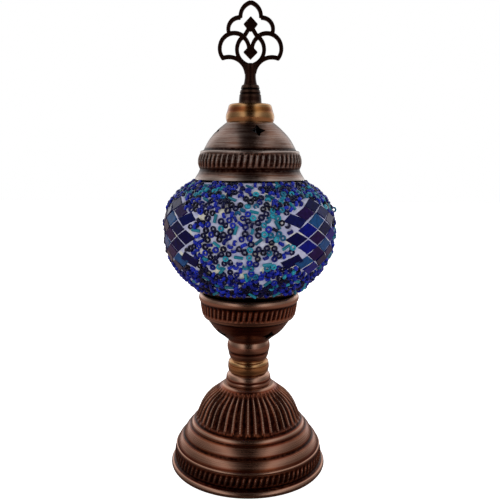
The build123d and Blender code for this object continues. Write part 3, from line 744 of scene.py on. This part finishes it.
runTree(cap, fluteTree, {
    "Count": float(capSizes["flutes"]), "Depth": capSizes["depth"] * mm, "Slant": capSizes["slant"],
    "Low": capSizes["low"] * mm, "High": capSizes["high"] * mm, "Fade": capSizes["fade"] * mm,
    "Round End": capSizes["roundEnd"] * mm, "Rib Sharpness": capSizes["sharpness"],
    "Material": capCopper})
cutStars(cap, capSizes["starHeight"], capSizes["starAngle"])
settle(sharpen(cap), "cap", "antique_copper", "cap_shell")


# collar and cone

collarSizes = {"segments": 192, "step": 0.45}
collar = turned("cap_collar_turned", outline([
    [(15.4, 263.2), (16.8, 263.2)],
    [(16.8, 263.2), (17.8, 266.8), (16.9, 271.0)],
    [(16.9, 271.0), (15.9, 274.6)],
    [(15.9, 274.6), (15.2, 276.0), (13.7, 276.6)],
    *[(c, 5) for c in chain((13.7, 276.6), (2.6, 276.6), (2.6, 275.1), (13.4, 275.1), (15.4, 270.6),
                            (15.4, 263.2))],
], collarSizes["step"]), collarSizes["segments"], goldenCopper)
settle(sharpen(collar), "cap", "bright_copper", "cap_collar")

coneSizes = {"segments": 128, "step": 0.3, "sharpAngle": 40}
cone = turned("finial_cone_turned", outline([
    [(2.5, 276.6), (8.0, 276.6)],
    [(8.0, 276.6), (8.4, 276.9), (8.4, 277.4)],
    [(8.4, 277.4), (7.9, 283.3)],
    [(7.9, 283.3), (7.3, 283.9), (7.6, 284.6)],
    [(7.6, 284.6), (7.1, 286.6)],
    [(7.1, 286.6), (6.5, 287.2), (6.9, 287.8)],
    [(6.9, 287.8), (6.3, 289.6)],
    [(6.3, 289.6), (6.0, 290.1), (5.2, 290.2)],
    [(5.2, 290.2), (2.5, 290.2)],
    [(2.5, 290.2), (2.5, 276.6)],
], coneSizes["step"]), coneSizes["segments"], darkCast)
settle(sharpen(cone, coneSizes["sharpAngle"]), "finial_cone", "cast_dark", "finial_cone")


# finial: the cast palmette, its edges rounded as a casting's are

finialSizes = {"voxel": 0.3, "smoothing": 4, "swell": 0.2}
finial = bpy.data.objects.new("finial_cast", nodes["finial"].data.copy())
scene.collection.objects.link(finial)
work = bmesh.new()
work.from_mesh(finial.data)
bmesh.ops.remove_doubles(work, verts=work.verts, dist=1e-6)
work.to_mesh(finial.data)
work.free()
finial.data.materials.clear()
finial.data.materials.append(darkCast)
remesh = finial.modifiers.new("remesh", "REMESH")
remesh.mode = "VOXEL"
remesh.voxel_size = finialSizes["voxel"] * mm
remesh.use_smooth_shade = True
soften = finial.modifiers.new("soften", "SMOOTH")
soften.factor = 0.5
soften.iterations = finialSizes["smoothing"]
swell = finial.modifiers.new("swell", "DISPLACE")  # gives back what the smoothing took
swell.strength = finialSizes["swell"] * mm
swell.mid_level = 0
keepResult(finial)
settle(finial, "finial", "cast_dark", "finial")


# globe glass

glassSizes = {"segments": 160, "step": 2.0}
glassLine = outline([
    ([(33.2, 124.0), (33.2, 134.8)], 3),
    [(33.2, 134.8), (35.3, 137.4), (40.8, 141.4), (47.0, 149.2), (55.0, 159.4), (60.0, 170.4),
     (61.7, 183.5),
     (60.4, 197.0), (56.0, 206.8), (50.0, 213.5), (43.0, 218.6), (36.5, 222.6), (32.3, 226.0),
     (31.5, 229.0)],
    ([(31.5, 229.0), (31.5, 231.4)], 3),
    ([(31.5, 231.4), (30.5, 232.1), (29.5, 231.4)], 0.5),
    ([(29.5, 231.4), (29.5, 228.6)], 3),
    [(29.5, 228.6), (30.8, 224.6), (41.8, 217.0), (54.2, 205.8), (58.4, 196.5), (59.7, 183.5),
     (58.1, 171.0),
     (53.3, 160.4), (45.5, 150.6), (39.2, 143.2), (33.6, 139.2), (31.2, 135.8)],
    ([(31.2, 135.8), (31.2, 124.0)], 3),
    ([(31.2, 124.0), (33.2, 124.0)], 1),
], glassSizes["step"])
glassShell = turned("globe_glass_blown", glassLine, glassSizes["segments"], globeGlassPaintedShade)
settle(sharpen(glassShell), "globe", "globe_glass", "globe_glass")


# mosaic: tiles first, then tube beads, seed beads round both, and plaster under all of them

mosaicSizes = {
    "tileLong": 18.4, "tileShort": 10.6, "tileThick": 2.0, "tileBevel": 0.35,
    "stepAcross": 10.0, "stepUp": 5.75,
    "tileTop": 0.35,        # below the outer face of the mosaic
    "plasterDepth": 1.45,   # below the outer face
    "beadOuter": 4.6, "beadHole": 1.6, "beadGap": 3.2, "openGap": 3.75,
    "tubeWidth": 2.2, "tubeLength": 6.0, "tubeGap": 16.0,
    "beadSink": 0.35, "bedLow": 143.0, "bedHigh": 220.3, "bedSegments": 180,
    # per metre: beads turn from cobalt to navy and teal along X and a little with height
    "drift": (1.5, 0.0, 0.5), "driftOffset": -0.19,
}
mosaicLine = outline([[(42.4, 141.4), (45.0, 144.9), (50.3, 150.0), (57.3, 159.4), (62.3, 170.4),
                       (63.9, 183.5),
                       (62.6, 197.0), (58.4, 206.8), (51.8, 213.9), (45.4, 218.5), (40.2, 221.6)]], 0.6)


def shrunk(line, depth):
    # the outline moved inwards by depth
    way = np.gradient(line, axis=0)
    way /= np.hypot(*way.T)[:, None]
    return line - depth * np.column_stack([way[:, 1], -way[:, 0]])


def onGlobe(azimuth, height, above):
    # a place on the mosaic's outer face, with its directions across, up and out
    k = int(np.argmin(abs(mosaicLine[:, 1] - height)))
    way = mosaicLine[min(k + 1, len(mosaicLine) - 1)] - mosaicLine[max(k - 1, 0)]
    way = way / np.hypot(*way)
    radius = np.interp(height, mosaicLine[:, 1], mosaicLine[:, 0])
    a = math.radians(azimuth)
    outwards = Vector((math.sin(a), -math.cos(a), 0))
    across = Vector((math.cos(a), math.sin(a), 0))
    up = outwards * way[0] + Vector((0, 0, way[1]))
    out = outwards * way[1] - Vector((0, 0, way[0]))
    return (outwards * radius + Vector((0, 0, height)) + out * above) * mm, across, up, out


# each tile: steps across, steps up, colour, lean
# colours are 0 navy, 1 cobalt, 2 purple, 3 steel blue, 4 dusk
tilePlan = [
    (-2, 0, 0, 0.0), (-1, 1, 1, 0.0), (-1, -1, 1, 0.0), (0, 0, 2, 0.0), (-1, 3, 2, 0.1), (0, 2, 3, 0.0),
    (-2.1, -2.75, 0, 0.35), (-1, -3, 3, 0.1), (0, -2, 2, 0.0), (1, 1, 0, 0.0), (1, -1, 3, 0.0),
    (2, 0, 1, 0.0),
    (1, 3, 4, 0.0), (1, -3, 0, 0.0), (0, 4, 0, 0.0), (0, -4, 1, 0.0), (2, 2, 2, 0.0), (2, -2, 4, 0.0),
    (-2, 2.2, 4, -0.3),
]
medallions = [(48.0, 184.0, 1), (-61.0, 184.0, -1), (173.5, 184.0, 1)]
meridian = np.r_[0, np.cumsum(np.hypot(*np.diff(mosaicLine, axis=0).T))]
chance = np.random.default_rng(7)
verts, faces, tones = [], [], []
for azimuth, height, side in medallions:
    middle = np.interp(height, mosaicLine[:, 1], meridian)
    for across, up, tone, lean in tilePlan:
        tileHeight = float(np.interp(middle + up * mosaicSizes["stepUp"], meridian, mosaicLine[:, 1]))
        radius = float(np.interp(tileHeight, mosaicLine[:, 1], mosaicLine[:, 0]))
        swing = math.degrees(side * across * mosaicSizes["stepAcross"] / radius)
        tilt = chance.normal(0, 0.035, 2)
        below = -mosaicSizes["tileTop"] + chance.uniform(-0.15, 0.15)
        spot, e, f, n = onGlobe(azimuth + swing, tileHeight, below)
        n = (n + e * tilt[0] + f * tilt[1]).normalized()
        f = (f - n * f.dot(n)).normalized()
        e = f.cross(n)
        halfLong = mosaicSizes["tileLong"] / 2 * chance.uniform(0.95, 1.03)
        halfShort = mosaicSizes["tileShort"] / 2 * chance.uniform(0.95, 1.03)
        corners = [(halfLong, 0), (0, halfShort), (-halfLong, 0), (0, -halfShort)]
        corners = [(x + side * lean * y * 2, y + chance.uniform(-0.25, 0.25)) for x, y in corners]
        start = len(verts)
        inset = mosaicSizes["tileBevel"]
        for shrink, drop in ((1.0, mosaicSizes["tileThick"]), (1.0, inset * 0.8), (1 - inset / 4.2, 0.0)):
            verts += [spot + (e * x * shrink + f * y * shrink - n * drop) * mm for x, y in corners]
        for row in (start, start + 4):
            faces += [(row + j, row + (j + 1) % 4, row + 4 + (j + 1) % 4, row + 4 + j) for j in range(4)]
        faces += [(start + 3, start + 2, start + 1, start), (start + 8, start + 9, start + 10,
                                                             start + 11)]
        tones += [(tone + 0.5) / 5 if side == 1 or tone != 1 else 0.1] * 12
tiles = newObject("glass_tiles", verts, faces, tileGlass, smooth=False)
work = bmesh.new()
work.from_mesh(tiles.data)
bmesh.ops.recalc_face_normals(work, faces=work.faces)
work.to_mesh(tiles.data)
work.free()
tiles.data.attributes.new("tone", "FLOAT", "POINT").data.foreach_set("value", np.array(tones, np.float32))

# one tree scatters every kind of bead: points on the globe, a share of them picked by chance and by place,
# each bead turned and tilted on its spot
scatterTree, given, result = newTree("beads_pressed_in_plaster", [
    ("Seed", "Int", 3), ("Gap", "Float", 0.0033),
    ("Open Gap", "Float", 0.0045), ("Open Middle", "Float", -0.11), ("Open Height", "Float", 0.186),
    ("Open Tall", "Float", 0.034),
    ("From", "Float", 0.0), ("To", "Float", 1.0),
    ("Low Tilt", "Float", 0.0), ("High Tilt", "Float", 0.3), ("Lift", "Float", 0.0),
    ("Ring Radius", "Float", 0.00126), ("Wall", "Float", 0.0006), ("Tallness", "Float", 1.7),
    ("Tube Length", "Float", 0.0),
    ("Clear Of", "Object", None), ("Clearance", "Float", 0.002),
    ("Clear Of Too", "Object", None), ("Clearance Too", "Float", 0.0015),
    ("Drift", "Vector", (0.0, 0.0, 0.0)), ("Drift Offset", "Float", 0.0),
    ("Material", "Material", None)])
position = addNode(scatterTree, "GeometryNodeInputPosition").outputs[0]
# open patches, three round the globe: beads keep further apart there than in the crowded rest;
# a slow noise makes their edges ragged
placeXyz = addNode(scatterTree, "ShaderNodeSeparateXYZ", [position]).outputs
frontward = addNode(scatterTree, "ShaderNodeMath", [placeXyz[1], -1.0], operation="MULTIPLY").outputs[0]
bearing = addNode(scatterTree, "ShaderNodeMath", [placeXyz[0], frontward], operation="ARCTAN2").outputs[0]
fromMiddle = addNode(scatterTree, "ShaderNodeMath", [bearing, given["Open Middle"]],
                     operation="SUBTRACT").outputs[0]
tripled = addNode(scatterTree, "ShaderNodeMath", [fromMiddle, 3.0], operation="MULTIPLY").outputs[0]
nearMiddle = addNode(scatterTree, "ShaderNodeMath", [tripled], operation="COSINE").outputs[0]
above = addNode(scatterTree, "ShaderNodeMath", [placeXyz[2], given["Open Height"]],
                operation="SUBTRACT").outputs[0]
share = addNode(scatterTree, "ShaderNodeMath", [above, given["Open Tall"]], operation="DIVIDE").outputs[0]
squared = addNode(scatterTree, "ShaderNodeMath", [share, share], operation="MULTIPLY").outputs[0]
ragged = addNode(scatterTree, "ShaderNodeTexNoise", {"Vector": position, "Scale": 1000 / 14.0,
                                                     "Detail": 2.0}).outputs[0]
inside = addNode(scatterTree, "ShaderNodeMath", [nearMiddle, squared], operation="SUBTRACT").outputs[0]
openness = addNode(scatterTree, "ShaderNodeMath", [ragged, 2.6, inside],
                   operation="MULTIPLY_ADD").outputs[0]
isOpen = addNode(scatterTree, "ShaderNodeMath", [openness, 1.3], operation="GREATER_THAN").outputs[0]
isCrowded = addNode(scatterTree, "ShaderNodeMath", [openness, 1.3], operation="LESS_THAN").outputs[0]
sets = []
for chosen, gap in ((isOpen, "Open Gap"), (isCrowded, "Gap")):
    part = addNode(scatterTree, "GeometryNodeDistributePointsOnFaces",
                   {"Mesh": given["Geometry"], "Selection": chosen, "Distance Min": given[gap],
                    "Density Max": 900000.0, "Seed": given["Seed"]}, distribute_method="POISSON")
    kept = {"Geometry": part.outputs["Points"], "Name": "facing", "Value": part.outputs["Rotation"]}
    sets.append(addNode(scatterTree, "GeometryNodeStoreNamedAttribute", kept, data_type="QUATERNION",
                        domain="POINT").outputs[0])
joined = scatterTree.nodes.new("GeometryNodeJoinGeometry")
for part in sets:
    scatterTree.links.new(part, joined.inputs[0])
facingOut = addNode(scatterTree, "GeometryNodeInputNamedAttribute", ["facing"],
                    data_type="QUATERNION").outputs[0]
luck = addNode(scatterTree, "FunctionNodeRandomValue", {"Seed": given["Seed"]},
               data_type="FLOAT").outputs[1]
patch = addNode(scatterTree, "ShaderNodeTexNoise", {"Vector": position, "Scale": 1000 / 17.0,
                                                    "Detail": 1.0}).outputs[0]
patchy = addNode(scatterTree, "ShaderNodeMath", [patch, 0.5], operation="SUBTRACT").outputs[0]
byPlace = addNode(scatterTree, "ShaderNodeVectorMath", [position, given["Drift"]],
                  operation="DOT_PRODUCT")
opened = addNode(scatterTree, "ShaderNodeMath", [isOpen, 0.2, given["Drift Offset"]],
                 operation="MULTIPLY_ADD")
bias = addNode(scatterTree, "ShaderNodeMath", [byPlace.outputs["Value"], opened.outputs[0]],
               operation="ADD")
biased = addNode(scatterTree, "ShaderNodeMath", [luck, bias.outputs[0]], operation="ADD").outputs[0]
mixedLuck = addNode(scatterTree, "ShaderNodeMath", [patchy, 1.5, biased], operation="MULTIPLY_ADD",
                    use_clamp=True).outputs[0]
under = addNode(scatterTree, "ShaderNodeMath", [mixedLuck, given["From"]],
                operation="LESS_THAN").outputs[0]
over = addNode(scatterTree, "ShaderNodeMath", [mixedLuck, given["To"]],
               operation="GREATER_THAN").outputs[0]
unwanted = addNode(scatterTree, "ShaderNodeMath", [under, over], operation="ADD").outputs[0]
for objectName, distanceName in (("Clear Of", "Clearance"), ("Clear Of Too", "Clearance Too")):
    other = addNode(scatterTree, "GeometryNodeObjectInfo",
                    {"Object": given[objectName]}).outputs["Geometry"]
    reach = addNode(scatterTree, "GeometryNodeProximity", {0: other},
                    target_element="FACES").outputs["Distance"]
    close = addNode(scatterTree, "ShaderNodeMath", [reach, given[distanceName]],
                    operation="LESS_THAN").outputs[0]
    count = addNode(scatterTree, "GeometryNodeAttributeDomainSize", [other],
                    component="MESH").outputs["Face Count"]
    exists = addNode(scatterTree, "ShaderNodeMath", [count, 0.5], operation="GREATER_THAN").outputs[0]
    hit = addNode(scatterTree, "ShaderNodeMath", [close, exists], operation="MULTIPLY").outputs[0]
    unwanted = addNode(scatterTree, "ShaderNodeMath", [unwanted, hit], operation="ADD").outputs[0]
left = addNode(scatterTree, "GeometryNodeDeleteGeometry",
               {"Geometry": joined.outputs[0], "Selection": unwanted}, domain="POINT")
tilt = addNode(scatterTree, "FunctionNodeRandomValue", {"Min": 0.0, "Max": 1.0, "Seed": 11},
               data_type="FLOAT")
tilted = addNode(scatterTree, "ShaderNodeMapRange", {0: tilt.outputs[1], 3: given["Low Tilt"],
                                                     4: given["High Tilt"]})
spin = addNode(scatterTree, "FunctionNodeRandomValue", {2: 0.0, 3: 6.283, "Seed": 12}, data_type="FLOAT")
local = addNode(scatterTree, "ShaderNodeCombineXYZ", [tilted.outputs[0], 0.0, spin.outputs[1]])
localTurn = addNode(scatterTree, "FunctionNodeEulerToRotation", [local.outputs[0]])
faced = addNode(scatterTree, "FunctionNodeRotateRotation", [facingOut, localTurn.outputs[0]],
                rotation_space="LOCAL")
hoop = addNode(scatterTree, "GeometryNodeCurvePrimitiveCircle",
               {"Resolution": 12, "Radius": given["Ring Radius"]})
wall = addNode(scatterTree, "GeometryNodeCurvePrimitiveCircle",
               {"Resolution": 6, "Radius": given["Wall"]})
ringBead = addNode(scatterTree, "GeometryNodeCurveToMesh", [hoop.outputs[0], wall.outputs[0]])
stretch = addNode(scatterTree, "ShaderNodeCombineXYZ", [1.0, 1.0, given["Tallness"]])
ringTall = addNode(scatterTree, "GeometryNodeTransform", {"Geometry": ringBead.outputs[0],
                                                          "Scale": stretch.outputs[0]})
lengthHalf = addNode(scatterTree, "ShaderNodeMath", [given["Tube Length"], 0.5], operation="MULTIPLY")
endUp = addNode(scatterTree, "ShaderNodeCombineXYZ", [0.0, 0.0, lengthHalf.outputs[0]])
endDown = addNode(scatterTree, "ShaderNodeVectorMath", {0: endUp.outputs[0], "Scale": -1.0},
                  operation="SCALE")
stick = addNode(scatterTree, "GeometryNodeCurvePrimitiveLine",
                {"Start": endDown.outputs[0], "End": endUp.outputs[0]})
tubeWall = addNode(scatterTree, "GeometryNodeCurvePrimitiveCircle",
                   {"Resolution": 10, "Radius": given["Ring Radius"]})
tubeBead = addNode(scatterTree, "GeometryNodeCurveToMesh", {"Curve": stick.outputs[0],
                                                            "Profile Curve": tubeWall.outputs[0],
                                                            "Fill Caps": True})
isTube = addNode(scatterTree, "ShaderNodeMath", [given["Tube Length"], 0.0001], operation="GREATER_THAN")
shape = addNode(scatterTree, "GeometryNodeSwitch",
                {"Switch": isTube.outputs[0], "False": ringTall.outputs[0], "True": tubeBead.outputs[0]},
                input_type="GEOMETRY")
smoothed = addNode(scatterTree, "GeometryNodeSetShadeSmooth", {"Geometry": shape.outputs[0]},
                   domain="FACE")
size = addNode(scatterTree, "FunctionNodeRandomValue", {2: 0.9, 3: 1.08, "Seed": 13}, data_type="FLOAT")
placed = addNode(scatterTree, "GeometryNodeInstanceOnPoints",
                 {"Points": left.outputs[0], "Instance": smoothed.outputs[0],
                  "Rotation": faced.outputs[0], "Scale": size.outputs[1]})
outNormal = addNode(scatterTree, "FunctionNodeRotateVector", [(0.0, 0.0, 1.0), facingOut])
liftVector = addNode(scatterTree, "ShaderNodeVectorMath",
                     {0: outNormal.outputs[0], "Scale": given["Lift"]}, operation="SCALE")
lifted = addNode(scatterTree, "GeometryNodeTranslateInstances",
                 {"Instances": placed.outputs[0], "Translation": liftVector.outputs[0],
                  "Local Space": False})
shade = addNode(scatterTree, "FunctionNodeRandomValue", {2: 0.0, 3: 1.0, "Seed": 14}, data_type="FLOAT")
shaded = addNode(scatterTree, "GeometryNodeStoreNamedAttribute",
                 {"Geometry": lifted.outputs[0], "Name": "shade", "Value": shade.outputs[1]},
                 data_type="FLOAT", domain="INSTANCE")
real = addNode(scatterTree, "GeometryNodeRealizeInstances", [shaded.outputs[0]])
painted = addNode(scatterTree, "GeometryNodeSetMaterial", {"Geometry": real.outputs[0],
                                                           "Material": given["Material"]})
scatterTree.links.new(painted.outputs[0], result[0])

bedLine = shrunk(mosaicLine, mosaicSizes["plasterDepth"] - mosaicSizes["beadSink"])
inBand = (bedLine[:, 1] > mosaicSizes["bedLow"]) & (bedLine[:, 1] < mosaicSizes["bedHigh"])
hoopRadius = (mosaicSizes["beadOuter"] + mosaicSizes["beadHole"]) / 4 * mm
hoopWall = (mosaicSizes["beadOuter"] - mosaicSizes["beadHole"]) / 4 * mm


def scatter(name, material, values):
    bed = turned(name, bedLine[inBand], mosaicSizes["bedSegments"], material, closed=False)
    return runTree(bed, scatterTree, {"Ring Radius": hoopRadius, "Wall": hoopWall, "Material": material,
                                      **values})


tubes = scatter("bugle_beads_teal", tealTube, {
    "Seed": 21, "Gap": mosaicSizes["tubeGap"] * mm, "Open Gap": mosaicSizes["tubeGap"] * mm,
    "Ring Radius": mosaicSizes["tubeWidth"] / 2 * mm,
    "Tube Length": mosaicSizes["tubeLength"] * mm, "Low Tilt": 1.45, "High Tilt": 1.68, "Lift": 0.2 * mm,
    "Clear Of": tiles, "Clearance": 3.2 * mm})
beadKinds = {
    "seed_beads_cobalt_tilted": (cobaltBead, {"To": 0.36, "Low Tilt": 1.25, "High Tilt": 1.6,
                                              "Lift": 0.1 * mm, "Clearance": 1.45 * mm}),
    "seed_beads_cobalt_flat": (cobaltBead, {"From": 0.36, "To": 0.47, "Low Tilt": 0.0, "High Tilt": 0.5}),
    "seed_beads_navy_flat": (navyBead, {"From": 0.47, "To": 0.8, "Low Tilt": 0.0, "High Tilt": 0.3}),
    "seed_beads_navy_tilted": (navyBead, {"From": 0.8, "To": 0.88, "Low Tilt": 0.3, "High Tilt": 1.5,
                                          "Lift": 0.1 * mm, "Clearance": 1.35 * mm}),
    "seed_beads_teal": (tealBead, {"From": 0.88, "To": 1.0, "Low Tilt": 0.0, "High Tilt": 1.6,
                                   "Lift": 0.1 * mm, "Clearance": 1.3 * mm}),
}
for name, (material, values) in beadKinds.items():
    beads = scatter(name, material, {
        "Seed": 3, "Gap": mosaicSizes["beadGap"] * mm, "Open Gap": mosaicSizes["openGap"] * mm,
        "Clear Of": tiles, "Clearance": 1.15 * mm, "Clear Of Too": tubes, "Clearance Too": 1.2 * mm,
        "Drift": mosaicSizes["drift"], "Drift Offset": mosaicSizes["driftOffset"], **values})
    settle(beads, "globe", "mosaic")

# one loose bead that stands out of the plaster on the right
looseBead = {"azimuth": 90.0, "height": 199.5, "above": 1.3, "around": 16, "across": 8, "tallness": 1.8,
             "shade": 0.4}
spot, e, f, n = onGlobe(looseBead["azimuth"], looseBead["height"], looseBead["above"])
around, across = looseBead["around"], looseBead["across"]
verts, faces = [], []
for i in range(around):
    a = i * 2 * math.pi / around
    here, there = i * across, (i + 1) % around * across
    for j in range(across):
        b = j * 2 * math.pi / across
        reach = hoopRadius + hoopWall * math.cos(b)
        onHoop = n * reach * math.cos(a) + f * reach * math.sin(a)
        verts.append(spot + onHoop + e * hoopWall * looseBead["tallness"] * math.sin(b))
        faces.append((here + j, there + j, there + (j + 1) % across, here + (j + 1) % across))
loose = newObject("seed_bead_loose", verts, faces, tealBead)
shades = [looseBead["shade"]] * len(verts)
loose.data.attributes.new("shade", "FLOAT", "POINT").data.foreach_set("value", shades)
settle(loose, "globe", "mosaic")

# plaster: fills the gaps, lumpy, and a little higher round the tiles
plasterTree, given, result = newTree("plaster_between_glass", [
    ("Lump Size", "Float", 0.004), ("Lump Height", "Float", 0.0005), ("Tiles", "Object", None),
    ("Reach", "Float", 0.003), ("Rise", "Float", 0.0007), ("Material", "Material", None)])
position = addNode(plasterTree, "GeometryNodeInputPosition").outputs[0]
normal = addNode(plasterTree, "GeometryNodeInputNormal").outputs[0]
fineness = addNode(plasterTree, "ShaderNodeMath", [1.0, given["Lump Size"]],
                   operation="DIVIDE").outputs[0]
lump = addNode(plasterTree, "ShaderNodeTexNoise", {"Vector": position, "Scale": fineness,
                                                   "Detail": 2.0}).outputs[0]
centred = addNode(plasterTree, "ShaderNodeMath", [lump, 0.5], operation="SUBTRACT").outputs[0]
other = addNode(plasterTree, "GeometryNodeObjectInfo", {"Object": given["Tiles"]}).outputs["Geometry"]
reach = addNode(plasterTree, "GeometryNodeProximity", {0: other},
                target_element="FACES").outputs["Distance"]
near = addNode(plasterTree, "ShaderNodeMapRange", {0: reach, 1: given["Reach"], 2: 0.0005, 3: 0.0,
                                                   4: given["Rise"]},
               interpolation_type="SMOOTHSTEP").outputs[0]
height = addNode(plasterTree, "ShaderNodeMath", [centred, given["Lump Height"], near],
                 operation="MULTIPLY_ADD").outputs[0]
# only the outer face moves, by its place away from the glass
xyz = addNode(plasterTree, "ShaderNodeSeparateXYZ", [position]).outputs
outward = addNode(plasterTree, "ShaderNodeCombineXYZ", [xyz[0], xyz[1]]).outputs[0]
facing = addNode(plasterTree, "ShaderNodeVectorMath", [normal, outward],
                 operation="DOT_PRODUCT").outputs["Value"]
outer = addNode(plasterTree, "ShaderNodeMath", [facing, 0.0], operation="GREATER_THAN").outputs[0]
used = addNode(plasterTree, "ShaderNodeMath", [height, outer], operation="MULTIPLY").outputs[0]
offset = addNode(plasterTree, "ShaderNodeVectorMath", {0: normal, "Scale": used},
                 operation="SCALE").outputs[0]
moved = addNode(plasterTree, "GeometryNodeSetPosition", {"Geometry": given["Geometry"], "Offset": offset})
real = addNode(plasterTree, "GeometryNodeRealizeInstances", [moved.outputs[0]])
painted = addNode(plasterTree, "GeometryNodeSetMaterial", {"Geometry": real.outputs[0],
                                                           "Material": given["Material"]})
plasterTree.links.new(painted.outputs[0], result[0])

outerFace = shrunk(mosaicLine, mosaicSizes["plasterDepth"])
glassFace = sampleRun([(41.0, 141.5), (47.1, 149.2), (55.1, 159.4), (60.1, 170.4), (61.8, 183.5),
                       (60.5, 197.0), (56.1, 206.8), (50.1, 213.5), (43.1, 218.6), (38.9, 221.3)], 2.5)
bedding = turned("mosaic_plaster", np.vstack([outerFace, glassFace[::-1]]), 420, plaster)
runTree(bedding, plasterTree, {"Tiles": tiles, "Material": plaster})
settle(bedding, "globe", "mosaic", "mosaic_layer")
settle(tubes, "globe", "mosaic")
settle(tiles, "globe", "mosaic")


# inside: a thread on the bulb's cap, and a finish for every CAD node that stays

threadSizes = {"pitch": 2.82, "depth": 0.42, "segments": 72}
thread = turned("bulb_cap_threaded", outline([
    [(4.6, 131.4), (5.6, 131.4)],
    [(5.6, 131.4), (6.6, 132.2), (6.9, 133.0)],
    ([(6.9, 133.0), (6.9, 153.0)], 0.3),
    [(6.9, 153.0), (6.5, 153.0)],
    ([(6.5, 153.0), (6.5, 133.4)], 0.6),
    [(6.5, 133.4), (4.6, 131.9)],
    [(4.6, 131.9), (4.6, 131.4)]], 0.5), threadSizes["segments"], platedBrass)
runTree(thread, fluteTree, {
    "Count": 1.0, "Depth": threadSizes["depth"] * mm, "Slant": 2 * math.pi / (threadSizes["pitch"] * mm),
    "Low": 133.4 * mm, "High": 148.5 * mm, "Fade": 1.2 * mm, "Rib Sharpness": 0.8, "Tarnish": 0.0,
    "Material": platedBrass})
settle(thread, "bulb", "plated_brass", "bulb_cap")

nodeFinish = {
    felt: ["felt_pad"],
    zincSteel: ["base_plate", "threaded_tube", "neck_washer", "neck_nut", "cup_washer", "cup_nut",
                "cap_stud",
                "cap_washer", "cap_nut"],
    castIron: ["ballast_ring"],
    rubber: ["cable_grommet", "globe_gasket"],
    bakelite: ["holder_cap", "holder_body", "bulb_insulator"],
    porcelain: ["holder_insulator"],
    platedBrass: ["terminal_screws", "centre_contact", "screw_shell", "bulb_contact"],
    bulbGlass: ["bulb_glass", "bulb_stem"],
    tungsten: ["filament"],
    springSteel: ["spring_clip"],
}
for material, names in nodeFinish.items():
    for name in names:
        if not nodes[name].material_slots:
            nodes[name].data.materials.append(material)
        for slot in nodes[name].material_slots:
            slot.material = material
print("inside finished")
